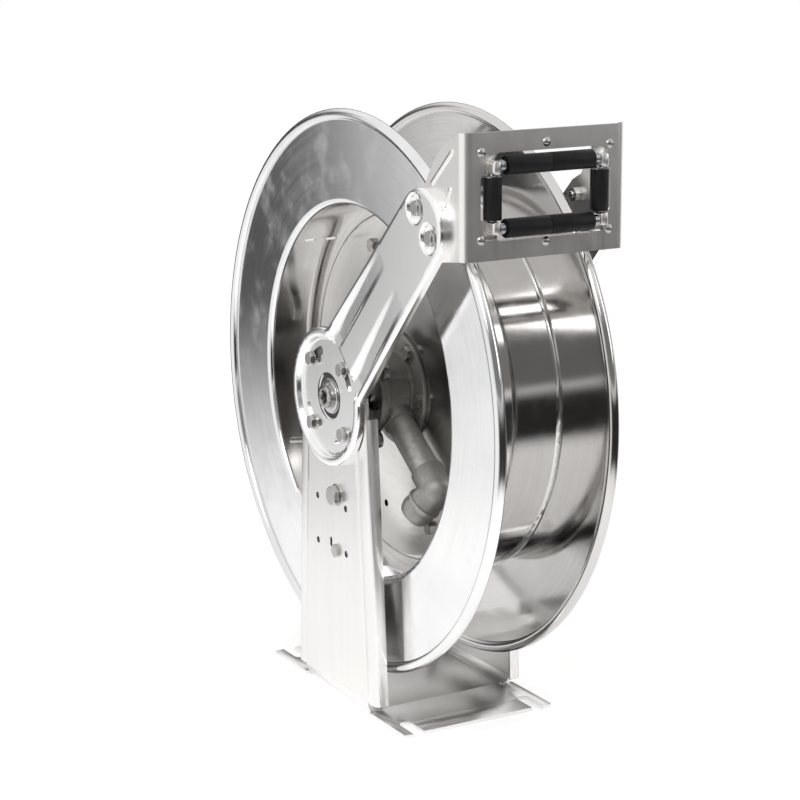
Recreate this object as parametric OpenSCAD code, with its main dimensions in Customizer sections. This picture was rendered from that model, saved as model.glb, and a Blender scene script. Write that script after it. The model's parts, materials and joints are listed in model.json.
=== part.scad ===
// Spring-rewind hose reel: folded frame, flanged drum, guide arms with a four-sided roller outlet.
// Millimetres, +Z up. The drum turns about X, the outlet faces -Y, the base rests on z = 0.

/* [Drum] */
// Outside diameter over the rolled rims
drum_od = 600; // [540:5:640]
// Distance between the middle planes of the two rims
drum_gap = 129; // [120:1:134]
// Outside radius of the barrel the hose winds on
barrel_r = 202; // [190:1:220]
// Diameter of the rolled bead on each rim
bead_d = 12; // [8:1:14]
// Sheet thickness of the drum
drum_t = 2; // [1.5:0.5:3]

/* [Frame] */
// Width over the outer faces of the two uprights
frame_w = 180; // [176:1:200]
// Length of the base from front to back
base_l = 300; // [270:5:360]
// Sheet thickness of the folded frame
frame_t = 4; // [3:0.5:5]
// Height of the drum's axis above the floor
shaft_h = 334; // [330:1:360]
// Half width of an upright at the floor
foot_half = 92; // [84:1:100]
// Half width of an upright at the axis
top_half = 73; // [68:1:76]
// Width of the four open slots in the base
slot_w = 14; // [10:0.5:16]
// Depth of those slots from the base's edge
slot_l = 34; // [24:1:40]

/* [Guide arm] */
// Distance from the axis to the centre of the arm's round end
arm_len = 287; // [284:1:310]
// Angle of the arm above the horizontal
arm_tilt = 45; // [30:1:60]
// Radius of the arm's round hub
arm_hub_r = 74; // [72:1:80]
// Radius of the arm's round end
arm_end_r = 40; // [38:1:46]
// Depth of the arm's pressed edge
arm_depth = 9; // [8:0.5:12]
// Angle the arm can be tipped back by, set by its slots
slot_sweep = 25; // [10:1:28]

/* [Outlet] */
// Height of the outlet plate
plate_h = 120.6; // [112:0.2:130]
// Radius of the two lying rollers
lying_r = 9.2; // [8:0.1:9.8]
// Radius of the two standing rollers
standing_r = 8.8; // [8:0.1:9.4]
// Length of the two standing rollers
standing_l = 39.6; // [34:0.2:40]

/* [Hidden] */
$fn = 96;
hw = frame_w / 2;                 // outer face of an upright
hi = hw - frame_t;                // inner face of an upright
drum_r = drum_od / 2;
half_gap = drum_gap / 2;
bead_r = bead_d / 2;
wall_r = barrel_r - drum_t;       // inside of the barrel
shaft_r = 15;
run = 0.05;                       // running clearance on a radius
lie = 0.1;                        // clearance between pieces that sit in each other
shim_t = 1;
arm_t = 3;
face_x = hw + shim_t;             // inner face of the arm's floor
level_x = face_x + arm_depth;     // outermost face of the arm
m8_r = 4;                         // the fasteners are M8, apart from the latch's pivot
m8_af = 13;
m8_head = 5.3;
m8_nut = 6.5;
m8_hole = 4.3;
m8_washer_r = 8.2;
m8_washer_t = 1.6;
bolt_pcd_r = 49;
recess_r = 66;
arm_bore_r = 25.5;
end_y = -arm_len * cos(arm_tilt); // centre of the arm's round end
end_z = shaft_h + arm_len * sin(arm_tilt);
bolt_out = 7.2;                   // top bolts lie this far past the round end's centre
bolt_apart = 18.4;                // half their distance apart
bolt_side = -2;                   // and this far to the side
pocket_r = 15;
plate_y = end_y - 68;             // front face of the outlet plate
plate_z = end_z - 24;             // its lower edge
plate_t = 3;
bend_r = 9;
ear_x = face_x;                   // outer face of the outlet plate's ears
top_roll_z = plate_z + 89.4;
low_roll_z = plate_z + 30.1;
lying_y = plate_y - 3.5;
stand_y = plate_y;
stand_z = (top_roll_z + low_roll_z) / 2 - 1.3;
stand_x = ear_x - 31;
lying_l = 2 * (stand_x - 11.5);   // each lying roller is made of two halves
lug_in = 4.4;                     // inner and outer face of a lug, from stand_x
lug_out = 5;
lug_long = 7.3;                   // its height from the lying rollers' axis, inwards and outwards
lug_short = 4.4;
lug_nose = 7.2;                   // its front face, from the same axis
play = 0.3;                       // gap beside what turns
pin_r = 3;
bearing_r = 31;                   // outside radius of the two bearings
bearing_w = 16;
hub_r = 38;                       // outside radius of both bearing housings
hub_bolt_r = 53;                  // bolt circle of the hub's flange
web_x = -10;                      // near face of the web disc, against the hub's flange
web_t = 3;
hub_x = web_x - 4;                // near face of the hub's flange, against the swivel
swivel_x = -50;                   // near face of the swivel, against the ratchet
ratchet_x = swivel_x - 7;
case_t = 2;                       // sheet of the spring's case
case_r = 147;
case_x = 46;                      // its far face
far_bearing_x = 41;
edge_angle = atan((foot_half - top_half) / shaft_h);
pipe_x = -31;
pipe_a = 215.5;                   // direction of the riser pipe, from +Y towards +Z
pipe_end = 144.5;                   // corner of the elbow at the pipe's end
passage_a = pipe_a + acos(pipe_end / barrel_r) + 8;  // where the hose meets the barrel
passage_x = -38;
thread_r = 15.15;                 // pipe threads are drawn plain at their minor diameter
pawl_y = -10;
pawl_z = shaft_h - 106;
post_y = -8;
post_z = shaft_h - 168;
lobe_a = 147;
lean_a = 56.6;                    // direction of the parked pawl
rest_a = 25.6;                    // direction and distance of the pin its spring rests on
rest_r = 19.7;

// ---------- shapes ----------

// Cylinder along X from x0 to x1, about the origin's X axis
module xcyl(x0, x1, r) translate([x0, 0, 0]) rotate([0, 90, 0]) cylinder(r = r, h = x1 - x0);

// Tube along X
module xtube(x0, x1, r, ri) difference() {
  xcyl(x0, x1, r);
  xcyl(x0 - 1, x1 + 1, ri);
}

// Six-sided prism along X, af across its flats
module xhex(x0, x1, af) translate([x0, 0, 0]) rotate([0, 90, 0])
  cylinder(r = af / sqrt(3), h = x1 - x0, $fn = 6);

// Body of revolution about X from a section in (radius, x)
module xrev() rotate([0, 90, 0]) rotate_extrude($fn = 144) children();

// Flat section in (y, z), given thickness from x0 to x1
module slab(x0, x1) translate([x0, 0, 0]) rotate([90, 0, 90]) linear_extrude(x1 - x0) children();

module at_axis() translate([0, 0, shaft_h]) children();

// Places children at radius r and angle a about the drum's axis
module on_axis(r, a) at_axis() rotate([a, 0, 0]) translate([0, r, 0]) children();

// Points of a rectangle with round corners, from its low to its high corner
function round_box(low, high, r) = [for (q = [0 : 3]) for (i = [0 : 6]) let(a = 90 * q + 15 * i)
  [(q == 0 || q == 3 ? high[0] - r : low[0] + r) + r * cos(a), (q < 2 ? high[1] - r : low[1] + r) + r * sin(a)]];

module both_sides() {
  children();
  mirror([1, 0, 0]) children();
}

// Four places on the bolt circle of the arm's hub
module hub_places() for (k = [0 : 3]) on_axis(bolt_pcd_r, 180 - arm_tilt + 90 * k) children();

// The two places of the bolts at the arm's end
module top_places() for (s = [-1, 1]) at_axis() rotate([180 - arm_tilt, 0, 0])
  translate([0, arm_len + bolt_out, s * bolt_apart + bolt_side]) children();

// Quarter of a ring in the plane, filling the quadrant below and left of its centre
module corner_ring(r, ri) intersection() {
  difference() {
    circle(r = r);
    circle(r = ri);
  }
  translate([-r, -r]) square([r, r]);
}

// ---------- frame ----------

// Half width of an upright at height z
function half_at(z) = foot_half + (top_half - foot_half) * z / shaft_h;

// Flat face of an upright, without its rolled front and back edges
module upright_face() {
  cut = 9;
  z0 = 12;
  slab(-hw, -hi) union() {
    polygon([[-half_at(z0) + cut, z0], [half_at(z0) - cut, z0],
      [half_at(shaft_h) - cut, shaft_h], [-half_at(shaft_h) + cut, shaft_h]]);
    translate([0, shaft_h]) circle(r = top_half);
  }
}

// Rolled edge of an upright with its short return flange, at the +Y side
edge_r = 6;
edge_depth = 14;
module upright_edge() translate([-hw, foot_half, 0]) rotate([edge_angle, 0, 0]) translate([0, 0, 14])
  linear_extrude((shaft_h - 26) / cos(edge_angle)) polygon(concat(
    [[0, -16]], [for (a = [180 : -15 : 90]) [edge_r + edge_r * cos(a), -edge_r + edge_r * sin(a)]],
    [[edge_depth, 0], [edge_depth, -frame_t]],
    [for (a = [90 : 15 : 180]) [edge_r + (edge_r - frame_t) * cos(a), -edge_r + (edge_r - frame_t) * sin(a)]],
    [[frame_t, -16]]));

// Bend between the base and an upright
module foot_bend() {
  r = 12;
  flat_half = foot_half - 20;
  translate([-hw + r, flat_half, r]) rotate([90, 0, 0]) linear_extrude(2 * flat_half)
    corner_ring(r, r - frame_t);
}

module base_plate() difference() {
  r = 12;
  flat_half = foot_half - 20;
  linear_extrude(frame_t) difference() {
    square([frame_w, base_l], center = true);
    for (s = [-1, 1]) translate([s * (hw - r / 2 + 1), 0]) square([r + 2, 2 * flat_half], center = true);
    for (s = [-1, 1]) for (e = [-1, 1]) {
      translate([s * (hw - 17), e * (base_l / 2 - slot_l + slot_w / 2)]) circle(d = slot_w);
      translate([s * (hw - 17) - slot_w / 2, e > 0 ? base_l / 2 - slot_l + slot_w / 2 : -base_l / 2 - 1])
        square([slot_w, slot_l - slot_w / 2 + 1]);
      translate([s * (hw - r), e * flat_half]) circle(r = 4);
    }
  }
}

module frame() color([0.78, 0.78, 0.77]) difference() {
  union() {
    base_plate();
    both_sides() {
      difference() {
        upright_face();
        for (e = [-1, 1]) translate([-hw - 1, e * (foot_half - 10), 6]) cube([30, 20, 16], center = true);
      }
      upright_edge();
      mirror([0, 1, 0]) upright_edge();
      foot_bend();
    }
  }
  at_axis() xcyl(-hw - 1, hw + 1, shaft_r + run);
  both_sides() hub_places() xcyl(-hw - 1, -hi + 1, m8_hole);
  // latch mount on the near upright
  translate([0, pawl_y, pawl_z]) xcyl(-hw - 1, -hi + 1, 6.1);
  translate([0, post_y, post_z]) xcyl(-hw - 1, -hi + 1, m8_r + lie);
  at_stop_pin() translate([0, 0, -5]) cylinder(r = 3.4, h = 10);
  for (s = [-1, 1]) for (e = [-1, 1]) translate([0, 2 + 32 * s, shaft_h - 141.5 + 25 * e])
    xcyl(-hw - 1, -hi + 1, 3.2);
  slab(-hw - 1, -hi + 1) {
    translate([4, shaft_h - 158]) circle(r = 2);
    translate([4, shaft_h - 164]) circle(r = 2);
    translate([2, shaft_h - 164]) square([4, 6]);
  }
}

// Round-ended pin through the rear flange of the near upright
stop_z = shaft_h - 65;
module at_stop_pin() translate([-hw + 9.5, half_at(stop_z) - frame_t / 2, stop_z]) rotate([-103, 0, 0]) children();

module stop_pin() color([0.8, 0.8, 0.79]) at_stop_pin() {
  translate([0, 0, -6]) cylinder(r = 3.3, h = 48);
  translate([0, 0, 42]) sphere(r = 3.32);
  translate([0, 0, -9.2]) rotate([0, 0, 30]) cylinder(r = 5, h = 6, $fn = 6);
}

// ---------- shaft ----------

module shaft() color([0.7, 0.7, 0.69]) at_axis() difference() {
  xcyl(-hw, hw + 16, shaft_r);
  xcyl(-hw - 1, -60, 7);
  xcyl(-38, hw + 17, 8);
  translate([pipe_x, 0, 0]) rotate([90, 0, 0]) cylinder(r = 5, h = 2 * shaft_r + 2, center = true);
  translate([12, -2.5, shaft_r - 3]) cube([22, 5, 4]);
}

module shaft_collar() color([0.75, 0.75, 0.74]) at_axis() xtube(-hw - 4, -hw, 18, 8.3);

module shaft_screw() color([0.72, 0.72, 0.71]) at_axis() difference() {
  union() {
    xcyl(-hw - 10.5, -hw - 4, 12);
    xcyl(-hw - 4.5, -64, 6.95);
  }
  xhex(-hw - 12, -hw - 5.5, 14);
}

module shaft_nut() color([0.75, 0.75, 0.74]) at_axis() difference() {
  xhex(hw, hw + 7.7, 36);
  xcyl(hw - 1, hw + 9, shaft_r + lie);
}

module spacer_sleeves() color([0.72, 0.72, 0.72]) at_axis() {
  xtube(-hi, -50.3, 20, shaft_r + lie);
  xtube(57.3, hi, 20, shaft_r + lie);
}

// Threaded inlet at the far end of the hollow shaft
module inlet_adapter() color([0.72, 0.72, 0.71]) at_axis() difference() {
  union() {
    xhex(hw + 8, hw + 22, 41);
    xcyl(hw + 21, hw + 40, 21);
  }
  xcyl(hw + 7, hw + 16.3, shaft_r + lie);
  xcyl(hw + 16, hw + 22, 8);
  xcyl(hw + 21, hw + 41, thread_r);
}

module spring_arbor() color([0.5, 0.5, 0.5]) at_axis() difference() {
  xcyl(12, 34, 28);
  xcyl(11, 35, shaft_r + lie);
  translate([11, -2.6, 0]) cube([24, 5.2, shaft_r + 2.6]);
  translate([11, 0, 25.5]) rotate([20, 0, 0]) cube([24, 12, 1.6]);
}

module arbor_key() color([0.55, 0.55, 0.55]) at_axis()
  translate([12.2, -2.45, shaft_r - 2.9]) cube([21.6, 4.9, 5.2]);

module friction_discs() color([0.62, 0.62, 0.6]) both_sides() difference() {
  at_axis() xtube(-face_x + run, -hw, recess_r - 2, arm_bore_r + 0.5);
  hub_places() xcyl(-hw - 2, -hw + 1, m8_hole);
}

// ---------- fasteners of the arm's hub ----------

bolt_seat = -face_x - arm_t - m8_washer_t;  // underside of the heads on an arm

module hub_bolts() color([0.8, 0.8, 0.79]) both_sides() hub_places() {
  xhex(bolt_seat - m8_head, bolt_seat, m8_af);
  xcyl(bolt_seat - 0.5, -hi + m8_nut + 3, m8_r);
}

module hub_washers() color([0.8, 0.8, 0.79]) both_sides() hub_places()
  xtube(bolt_seat, -face_x - arm_t, m8_washer_r, m8_r + lie);

module hub_nuts() color([0.74, 0.74, 0.73]) both_sides() hub_places() difference() {
  xhex(-hi, -hi + m8_nut, m8_af);
  xcyl(-hi - 1, -hi + m8_nut + 1, m8_r + lie);
}

// ---------- latch ----------

module latch_bolt() color([0.78, 0.78, 0.77]) translate([0, pawl_y, pawl_z]) {
  xhex(-hw - 10, -hw - 2.5, 19);
  xcyl(-hw - 3, -48, 6);
}

module latch_washer() color([0.78, 0.78, 0.77]) translate([0, pawl_y, pawl_z])
  xtube(-hw - 2.5, -hw, 12, 6 + lie);

module latch_clip() color([0.5, 0.5, 0.5]) translate([0, pawl_y, pawl_z]) xtube(-49.6, -48.6, 9.5, 6 + run);

module post_bolt() color([0.78, 0.78, 0.77]) translate([0, post_y, post_z]) {
  xhex(-hw - m8_head, -hw, m8_af);
  xcyl(-hw - 0.5, -64, m8_r);
}

module post_nut() color([0.74, 0.74, 0.73]) translate([0, post_y, post_z]) difference() {
  xhex(-hi, -hi + m8_nut, m8_af);
  xcyl(-hi - 1, -hi + m8_nut + 1, m8_r + lie);
}

// Pawl, drawn parked clear of the ratchet's lobes
module pawl() color([0.6, 0.6, 0.6]) translate([0, pawl_y, pawl_z]) difference() {
  union() {
    xcyl(-hi + 0.3, -53, 11);
    slab(-57, -50) {
      circle(r = 14);
      rotate(lean_a) {
        translate([0, -6]) square([45, 12]);
        translate([45, 0]) circle(r = 5);
        translate([40, -6]) square([5, 6]);
      }
      rotate(rest_a) {
        translate([0, -5]) square([rest_r, 10]);
        translate([rest_r, 0]) circle(r = 5.5);
      }
    }
    rotate([rest_a, 0, 0]) translate([0, rest_r, 0]) xcyl(-66, -54, 2.5);
  }
  xcyl(-hi - 1, -49, 6 + run);
}

// Torsion spring round the pawl's boss: one leg rests on the lower post, the other on the pawl's pin
spring_start = -6;
spring_coil_r = 13.4;
spring_wire_r = 0.8;
spring_pitch = 2.4;
spring_from = hi - m8_nut - 2.5;  // beside the post's nut
spring_turns = floor((spring_from - 62.5) / spring_pitch);  // as many as fit before the pawl
spring_steps = 8 * spring_turns;
function coil_point(i) = let(a = spring_start + 45 * i)
  [-spring_from + spring_pitch * i / 8, spring_coil_r * cos(a), spring_coil_r * sin(a)];
function coil_dir(i) = let(a = spring_start + 45 * i, c = spring_pitch / (2 * PI * spring_coil_r))
  [c * (i > 0 && i < spring_steps ? 1 : 0), -sin(a), cos(a)] / sqrt(1 + c * c);
function unit(v) = v / norm(v);
function wire_ring(p, d) = let(n = unit(cross(d, [1, 0.01, 0.02])), b = cross(d, n))
  [for (j = [0 : 5]) p + spring_wire_r * (cos(60 * j) * n + sin(60 * j) * b)];
spring_path = concat([coil_point(0) - 67 * coil_dir(0)], [for (i = [0 : spring_steps]) coil_point(i)],
  [coil_point(spring_steps) + 14 * coil_dir(spring_steps)]);
spring_dirs = concat([coil_dir(0)], [for (i = [0 : spring_steps]) coil_dir(i)], [coil_dir(spring_steps)]);
module latch_spring() color([0.7, 0.7, 0.68]) translate([0, pawl_y, pawl_z]) {
  n = len(spring_path);
  points = [for (i = [0 : n - 1]) for (q = wire_ring(spring_path[i], spring_dirs[i])) q];
  sides = [for (i = [0 : n - 2]) for (j = [0 : 5]) let(k = (j + 1) % 6)
    for (f = [[6 * i + j, 6 * i + 6 + j, 6 * i + 6 + k], [6 * i + j, 6 * i + 6 + k, 6 * i + k]]) f];
  ends = [[0, 1, 2, 3, 4, 5], [for (j = [5 : -1 : 0]) 6 * (n - 1) + j]];
  polyhedron(points = points, faces = concat(sides, ends), convexity = 10);
}
echo("latch spring gap between curls", spring_pitch - 2 * spring_wire_r);

// ---------- drum ----------

// One flange of the drum: rim bead, flat sheet and rounded shoulder, in (radius, x)
shoulder = 4;
barrel_end = -half_gap + drum_t / 2 + shoulder;  // where the barrel meets the shoulder
module flange() at_axis() xrev() {
  translate([drum_r - bead_r, -half_gap]) circle(r = bead_r, $fn = 48);
  translate([barrel_r + shoulder, -half_gap - drum_t / 2])
    square([drum_r - bead_d - barrel_r - shoulder + 1.5, drum_t]);
  translate([barrel_r + shoulder, barrel_end]) corner_ring(shoulder + drum_t, shoulder);
}

module flange_near() color([0.82, 0.82, 0.82]) flange();
module flange_far() color([0.82, 0.82, 0.82]) mirror([1, 0, 0]) flange();

// Half of the barrel; the middle seam stays just open
seam = 0.05;
module barrel() at_axis() xtube(barrel_end, -seam, barrel_r, wall_r);

strap_slot_w = 4.4;
strap_slot_l = 10;
module barrel_near() color([0.82, 0.82, 0.82]) difference() {
  barrel();
  // strap slots and hose passage
  for (x = [-42, -16]) on_axis(barrel_r, 45.7) {
    translate([x, 0, 0]) cube([strap_slot_l, 12, strap_slot_w], center = true);
    for (s = [-1, 1]) translate([x + strap_slot_l / 2 * s, 0, 0]) rotate([90, 0, 0])
      cylinder(r = strap_slot_w / 2, h = 12, center = true);
  }
  on_axis(barrel_r, passage_a) translate([passage_x, 0, 0]) rotate([90, 0, 0]) passage_cutter();
}

// Long hole that the hose slants out through
passage_r = 17;
passage_half = 13;
module passage_cutter() {
  for (s = [-1, 1]) translate([0, s * passage_half, 0]) cylinder(r = passage_r, h = 30, center = true);
  cube([2 * passage_r, 2 * passage_half, 30], center = true);
}

module barrel_far() color([0.82, 0.82, 0.82]) mirror([1, 0, 0]) barrel();

band_half = 5.5;
module centre_band() color([0.82, 0.82, 0.82]) at_axis() xrev() {
  translate([barrel_r + lie, -band_half]) square([3.4, 2 * band_half]);
  translate([barrel_r + 2, 2 - band_half]) square([3.4, 2 * band_half - 4]);
  for (s = [-1, 1]) translate([barrel_r + 3.4, (band_half - 2) * s]) circle(r = 2, $fn = 32);
}

web_r = barrel_r - 13;
web_pcd_r = 156;
web_bend = 6;
web_places = [8, 70.5, 128, 186, 244, 306];
module web_disc() color([0.8, 0.8, 0.8]) difference() {
  at_axis() xrev() {
    translate([hub_r + lie, web_x]) square([web_r - web_bend - hub_r - lie, web_t]);
    translate([web_r - web_bend, web_x + web_bend]) corner_flange(web_bend, web_bend - web_t);
    translate([web_r - web_t, web_x + web_bend]) square([web_t, 12]);
  }
  for (a = web_places) on_axis(web_pcd_r, a) xcyl(web_x - 2, web_x + 5, m8_hole);
  flange_places() xcyl(web_x - 2, web_x + 5, m8_hole);
  // peephole to the spring
  on_axis(case_r - 8, 282) xcyl(web_x - 2, web_x + 5, 4);
}

// Quarter ring in the quadrant below and right of its centre
module corner_flange(r, ri) intersection() {
  difference() {
    circle(r = r);
    circle(r = ri);
  }
  translate([0, -r]) square([r, r]);
}

module web_ring() color([0.76, 0.76, 0.76]) at_axis() xrev()
  translate([web_r + lie, web_x + 8]) square([wall_r - web_r - 2 * lie, 4]);

web_bolt_l = 14;
module web_bolts() color([0.78, 0.78, 0.77]) for (a = web_places) on_axis(web_pcd_r, a) {
  xhex(web_x - m8_head, web_x, m8_af);
  xcyl(web_x - 0.5, web_x + web_bolt_l, m8_r);
}

web_back = web_x + web_t + case_t;  // far face of the case's flange
module web_nuts() color([0.74, 0.74, 0.73]) for (a = web_places) on_axis(web_pcd_r, a) difference() {
  xhex(web_back, web_back + m8_nut, m8_af);
  xcyl(web_back - 1, web_back + m8_nut + 1, m8_r + lie);
}

lip_r = 24;                       // bore of the lips that hold the bearings
module hub() color([0.68, 0.68, 0.67]) difference() {
  at_axis() xrev() {
    translate([lip_r, hub_x]) square([62 - lip_r, web_x - hub_x]);
    translate([lip_r, hub_x]) square([hub_r - lip_r, -bearing_w / 2 - hub_x]);
    translate([bearing_r + run, -9]) square([hub_r - bearing_r - run, bearing_w + 2]);
  }
  flange_places() xcyl(hub_x - 1, web_x + 1, m8_hole);
}

module flange_places() for (k = [0 : 5]) on_axis(hub_bolt_r, pipe_a + 30 + 60 * k) children();

module hub_flange_bolts() color([0.78, 0.78, 0.77]) flange_places() {
  xhex(hub_x - m8_head, hub_x, m8_af);
  xcyl(hub_x - 0.5, 2, m8_r);
}

module hub_flange_nuts() color([0.74, 0.74, 0.73]) flange_places() difference() {
  xhex(web_x + web_t, web_x + web_t + m8_nut, m8_af);
  xcyl(web_x + web_t - 1, web_x + web_t + m8_nut + 1, m8_r + lie);
}

// Ball bearing with its seals set back a little
module bearing_section() difference() {
  translate([shaft_r + run, 0]) square([bearing_r - shaft_r - run, bearing_w]);
  translate([shaft_r + 5, -1]) square([6, 1.6]);
  translate([shaft_r + 5, bearing_w - 0.6]) square([6, 1.6]);
}
module bearings() color([0.6, 0.6, 0.62]) at_axis() xrev() {
  translate([0, -bearing_w / 2]) bearing_section();
  translate([0, far_bearing_x]) bearing_section();
}

seal_places = [-43.3, -18.7];
module swivel_body() color([0.6, 0.6, 0.57]) difference() {
  union() {
    at_axis() xrev() {
      translate([shaft_r + run, swivel_x]) square([41 - shaft_r - run, hub_x - swivel_x]);
      translate([40, swivel_x]) square([5, 5]);
      translate([40, hub_x - 5]) square([5, 5]);
    }
    on_axis(0, pipe_a) translate([pipe_x, 30, 0]) rotate([-90, 0, 0]) cylinder(r = 17, h = 20);
  }
  at_axis() {
    xtube(pipe_x - 5, pipe_x + 5, 20, shaft_r - 1);
    for (x = seal_places) xtube(x - 1.7, x + 1.7, shaft_r + 3.1, shaft_r - 1);
  }
  on_axis(0, pipe_a) translate([pipe_x, 14, 0]) rotate([-90, 0, 0]) {
    cylinder(r = 11, h = 40);
    translate([0, 0, 20]) cylinder(r = pipe_r + lie, h = 20);
  }
}

module swivel_seals() color([0.1, 0.1, 0.1]) at_axis() xrev()
  for (x = seal_places) translate([shaft_r + run + 1.5, x]) circle(r = 1.45, $fn = 24);

module ratchet() color([0.62, 0.62, 0.61]) difference() {
  union() {
    at_axis() xcyl(ratchet_x, swivel_x, 50);
    for (k = [0 : 3]) on_axis(55, lobe_a + 90 * k) xcyl(ratchet_x, swivel_x, 9);
  }
  at_axis() xcyl(ratchet_x - 1, swivel_x + 1, lip_r);
  screw_places() xcyl(ratchet_x - 1, swivel_x + 1, 3.2);
}

module screw_places() for (k = [0 : 3]) on_axis(36, lobe_a + 45 + 90 * k) children();

module ratchet_screws() color([0.3, 0.3, 0.3]) screw_places() difference() {
  union() {
    xcyl(ratchet_x - 5, ratchet_x, 5);
    xcyl(ratchet_x - 0.5, swivel_x, 3);
  }
  xhex(ratchet_x - 6, ratchet_x - 2.5, 5);
}

pipe_start = 34.4;
pipe_r = 15;
pipe_bore = 12;
elbow_in = 12;                    // the pipe stops this far from the elbow's corner
module riser_pipe() color([0.62, 0.62, 0.59]) on_axis(0, pipe_a) translate([pipe_x, pipe_start, 0])
  rotate([-90, 0, 0]) difference() {
    cylinder(r = pipe_r, h = pipe_end - elbow_in - pipe_start);
    translate([0, 0, -1]) cylinder(r = pipe_bore, h = pipe_end);
  }

// Elbow at the pipe's end; its short leg ends in a round threaded coupling that faces the barrel
elbow_r = 17.6;
elbow_socket = 26;
elbow_lean = 25;                  // the leg leans this far towards the near side
elbow_leg = 30.5;                 // from the corner to the coupling's centre
coupling_r = 18.3;
bead_at = 20;
bead_w = 3;
mouth = sqrt(coupling_r * coupling_r - thread_r * thread_r) - 0.6;  // past the coupling's centre
module elbow() color([0.6, 0.6, 0.57]) on_axis(0, pipe_a) translate([pipe_x, pipe_end, 0]) difference() {
  union() {
    sphere(r = elbow_r + 0.4);
    rotate([90, 0, 0]) cylinder(r = elbow_r, h = elbow_socket);
    rotate([0, -elbow_lean, 0]) {
      cylinder(r = elbow_r, h = elbow_leg - 5);
      translate([0, 0, bead_at]) cylinder(r = coupling_r + 0.8, h = bead_w);
      translate([0, 0, elbow_leg]) sphere(r = coupling_r);
    }
  }
  rotate([90, 0, 0]) {
    cylinder(r = pipe_bore, h = elbow_in + 1);
    translate([0, 0, elbow_in]) cylinder(r = pipe_r + lie, h = elbow_socket);
  }
  sphere(r = pipe_bore + 0.3);
  rotate([0, -elbow_lean, 0]) {
    cylinder(r = pipe_bore, h = elbow_leg);
    translate([0, 0, elbow_leg - 8]) cylinder(r = thread_r, h = 2 * coupling_r);
    translate([0, 0, elbow_leg + mouth]) cylinder(r = 1.5 * coupling_r, h = coupling_r);
  }
}

// Round pan over the spring, bolted behind the web disc
module spring_case() color([0.74, 0.74, 0.74]) difference() {
  at_axis() xrev() {
    translate([case_r - 1, web_x + web_t]) square([21, case_t]);
    translate([case_r - case_t, web_x + web_t]) square([case_t, case_x - 6 - web_x - web_t]);
    translate([case_r - 6, case_x - 6]) intersection() {
      difference() {
        circle(r = 6);
        circle(r = 6 - case_t);
      }
      square([6, 6]);
    }
    translate([hub_r + lie, case_x - case_t]) square([case_r - 6 - hub_r - lie, case_t]);
  }
  for (a = web_places) on_axis(web_pcd_r, a) xcyl(web_x, web_back + 1, m8_hole);
  for (k = [0 : 5]) on_axis(95, 60 * k) xcyl(case_x - 3, case_x + 1, 9);
}

// Bearing housing in the middle of the pan, with its seat and end lip
module case_hub() color([0.68, 0.68, 0.67]) at_axis() xrev() {
  translate([bearing_r + run, 40.5]) square([hub_r - bearing_r - run, 17.5]);
  translate([hub_r - 2, case_x]) square([10, 2]);
  translate([lip_r, 57]) square([12, 1]);
}

// Flat spiral spring between the arbor and the case
wind_turns = 9;
wind_steps = 24;
strip_t = 1.6;
wind_in = 28.3;
wind_out = case_r - case_t - strip_t - 0.2;
function wind_r(i) = wind_in + (wind_out - wind_in) * i / (wind_turns * wind_steps);
module power_spring() color([0.35, 0.37, 0.4]) at_axis() slab(14, 32) {
  n = wind_turns * wind_steps;
  s = 360 / wind_steps;
  polygon(concat([for (i = [0 : n]) [wind_r(i) * cos(s * i), wind_r(i) * sin(s * i)]],
    [for (i = [n : -1 : 0]) [(wind_r(i) + strip_t) * cos(s * i), (wind_r(i) + strip_t) * sin(s * i)]]));
}

// ---------- guide arms ----------

// Outline of the arm in its own plane, drawn in by d; its length runs along +x
module arm_shape(d = 0) {
  circle(r = arm_hub_r - d);
  translate([arm_len, 0]) circle(r = arm_end_r - d);
  polygon([[0, -49.5 + d], [arm_len, -arm_end_r + d], [arm_len, arm_end_r - d], [0, 49.5 - d]]);
}

// Sunk strips beside the arm's middle rib, grown by g
module arm_strips(g = 0) {
  polygon([[50, -42 - g], [208 + g, -36 - g], [208 + g, -15 + g], [70 - g, -17 + g], [50, -17 + g]]);
  polygon([[50, 17 - g], [70 - g, 17 - g], [208 + g, 11 - g], [208 + g, 36 + g], [50, 42 + g]]);
  polygon([[50, -20], [66 - g, -20], [66 - g, 20], [50, 20]]);
}

// Everything outside the sloping floor of the strips, moved in by t
module above_floor(t) translate([210, -60, t]) rotate([0, 2.45, 0]) translate([-170, 0, -20])
  cube([175, 120, 20]);

// Curved slot with round ends that lets the hub bolts through while the arm tips
slot_half = 5;
module curved_slot() polygon(concat(
  [for (i = [0 : 6]) let(a = slot_sweep * i / 6) (bolt_pcd_r + slot_half) * [cos(a), sin(a)]],
  [for (i = [1 : 7]) bolt_pcd_r * [cos(slot_sweep), sin(slot_sweep)]
    + slot_half * [cos(slot_sweep + 22.5 * i), sin(slot_sweep + 22.5 * i)]],
  [for (i = [6 : -1 : 0]) let(a = slot_sweep * i / 6) (bolt_pcd_r - slot_half) * [cos(a), sin(a)]],
  [for (i = [1 : 7]) [bolt_pcd_r, 0] + slot_half * [cos(180 + 22.5 * i), sin(180 + 22.5 * i)]]));

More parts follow.
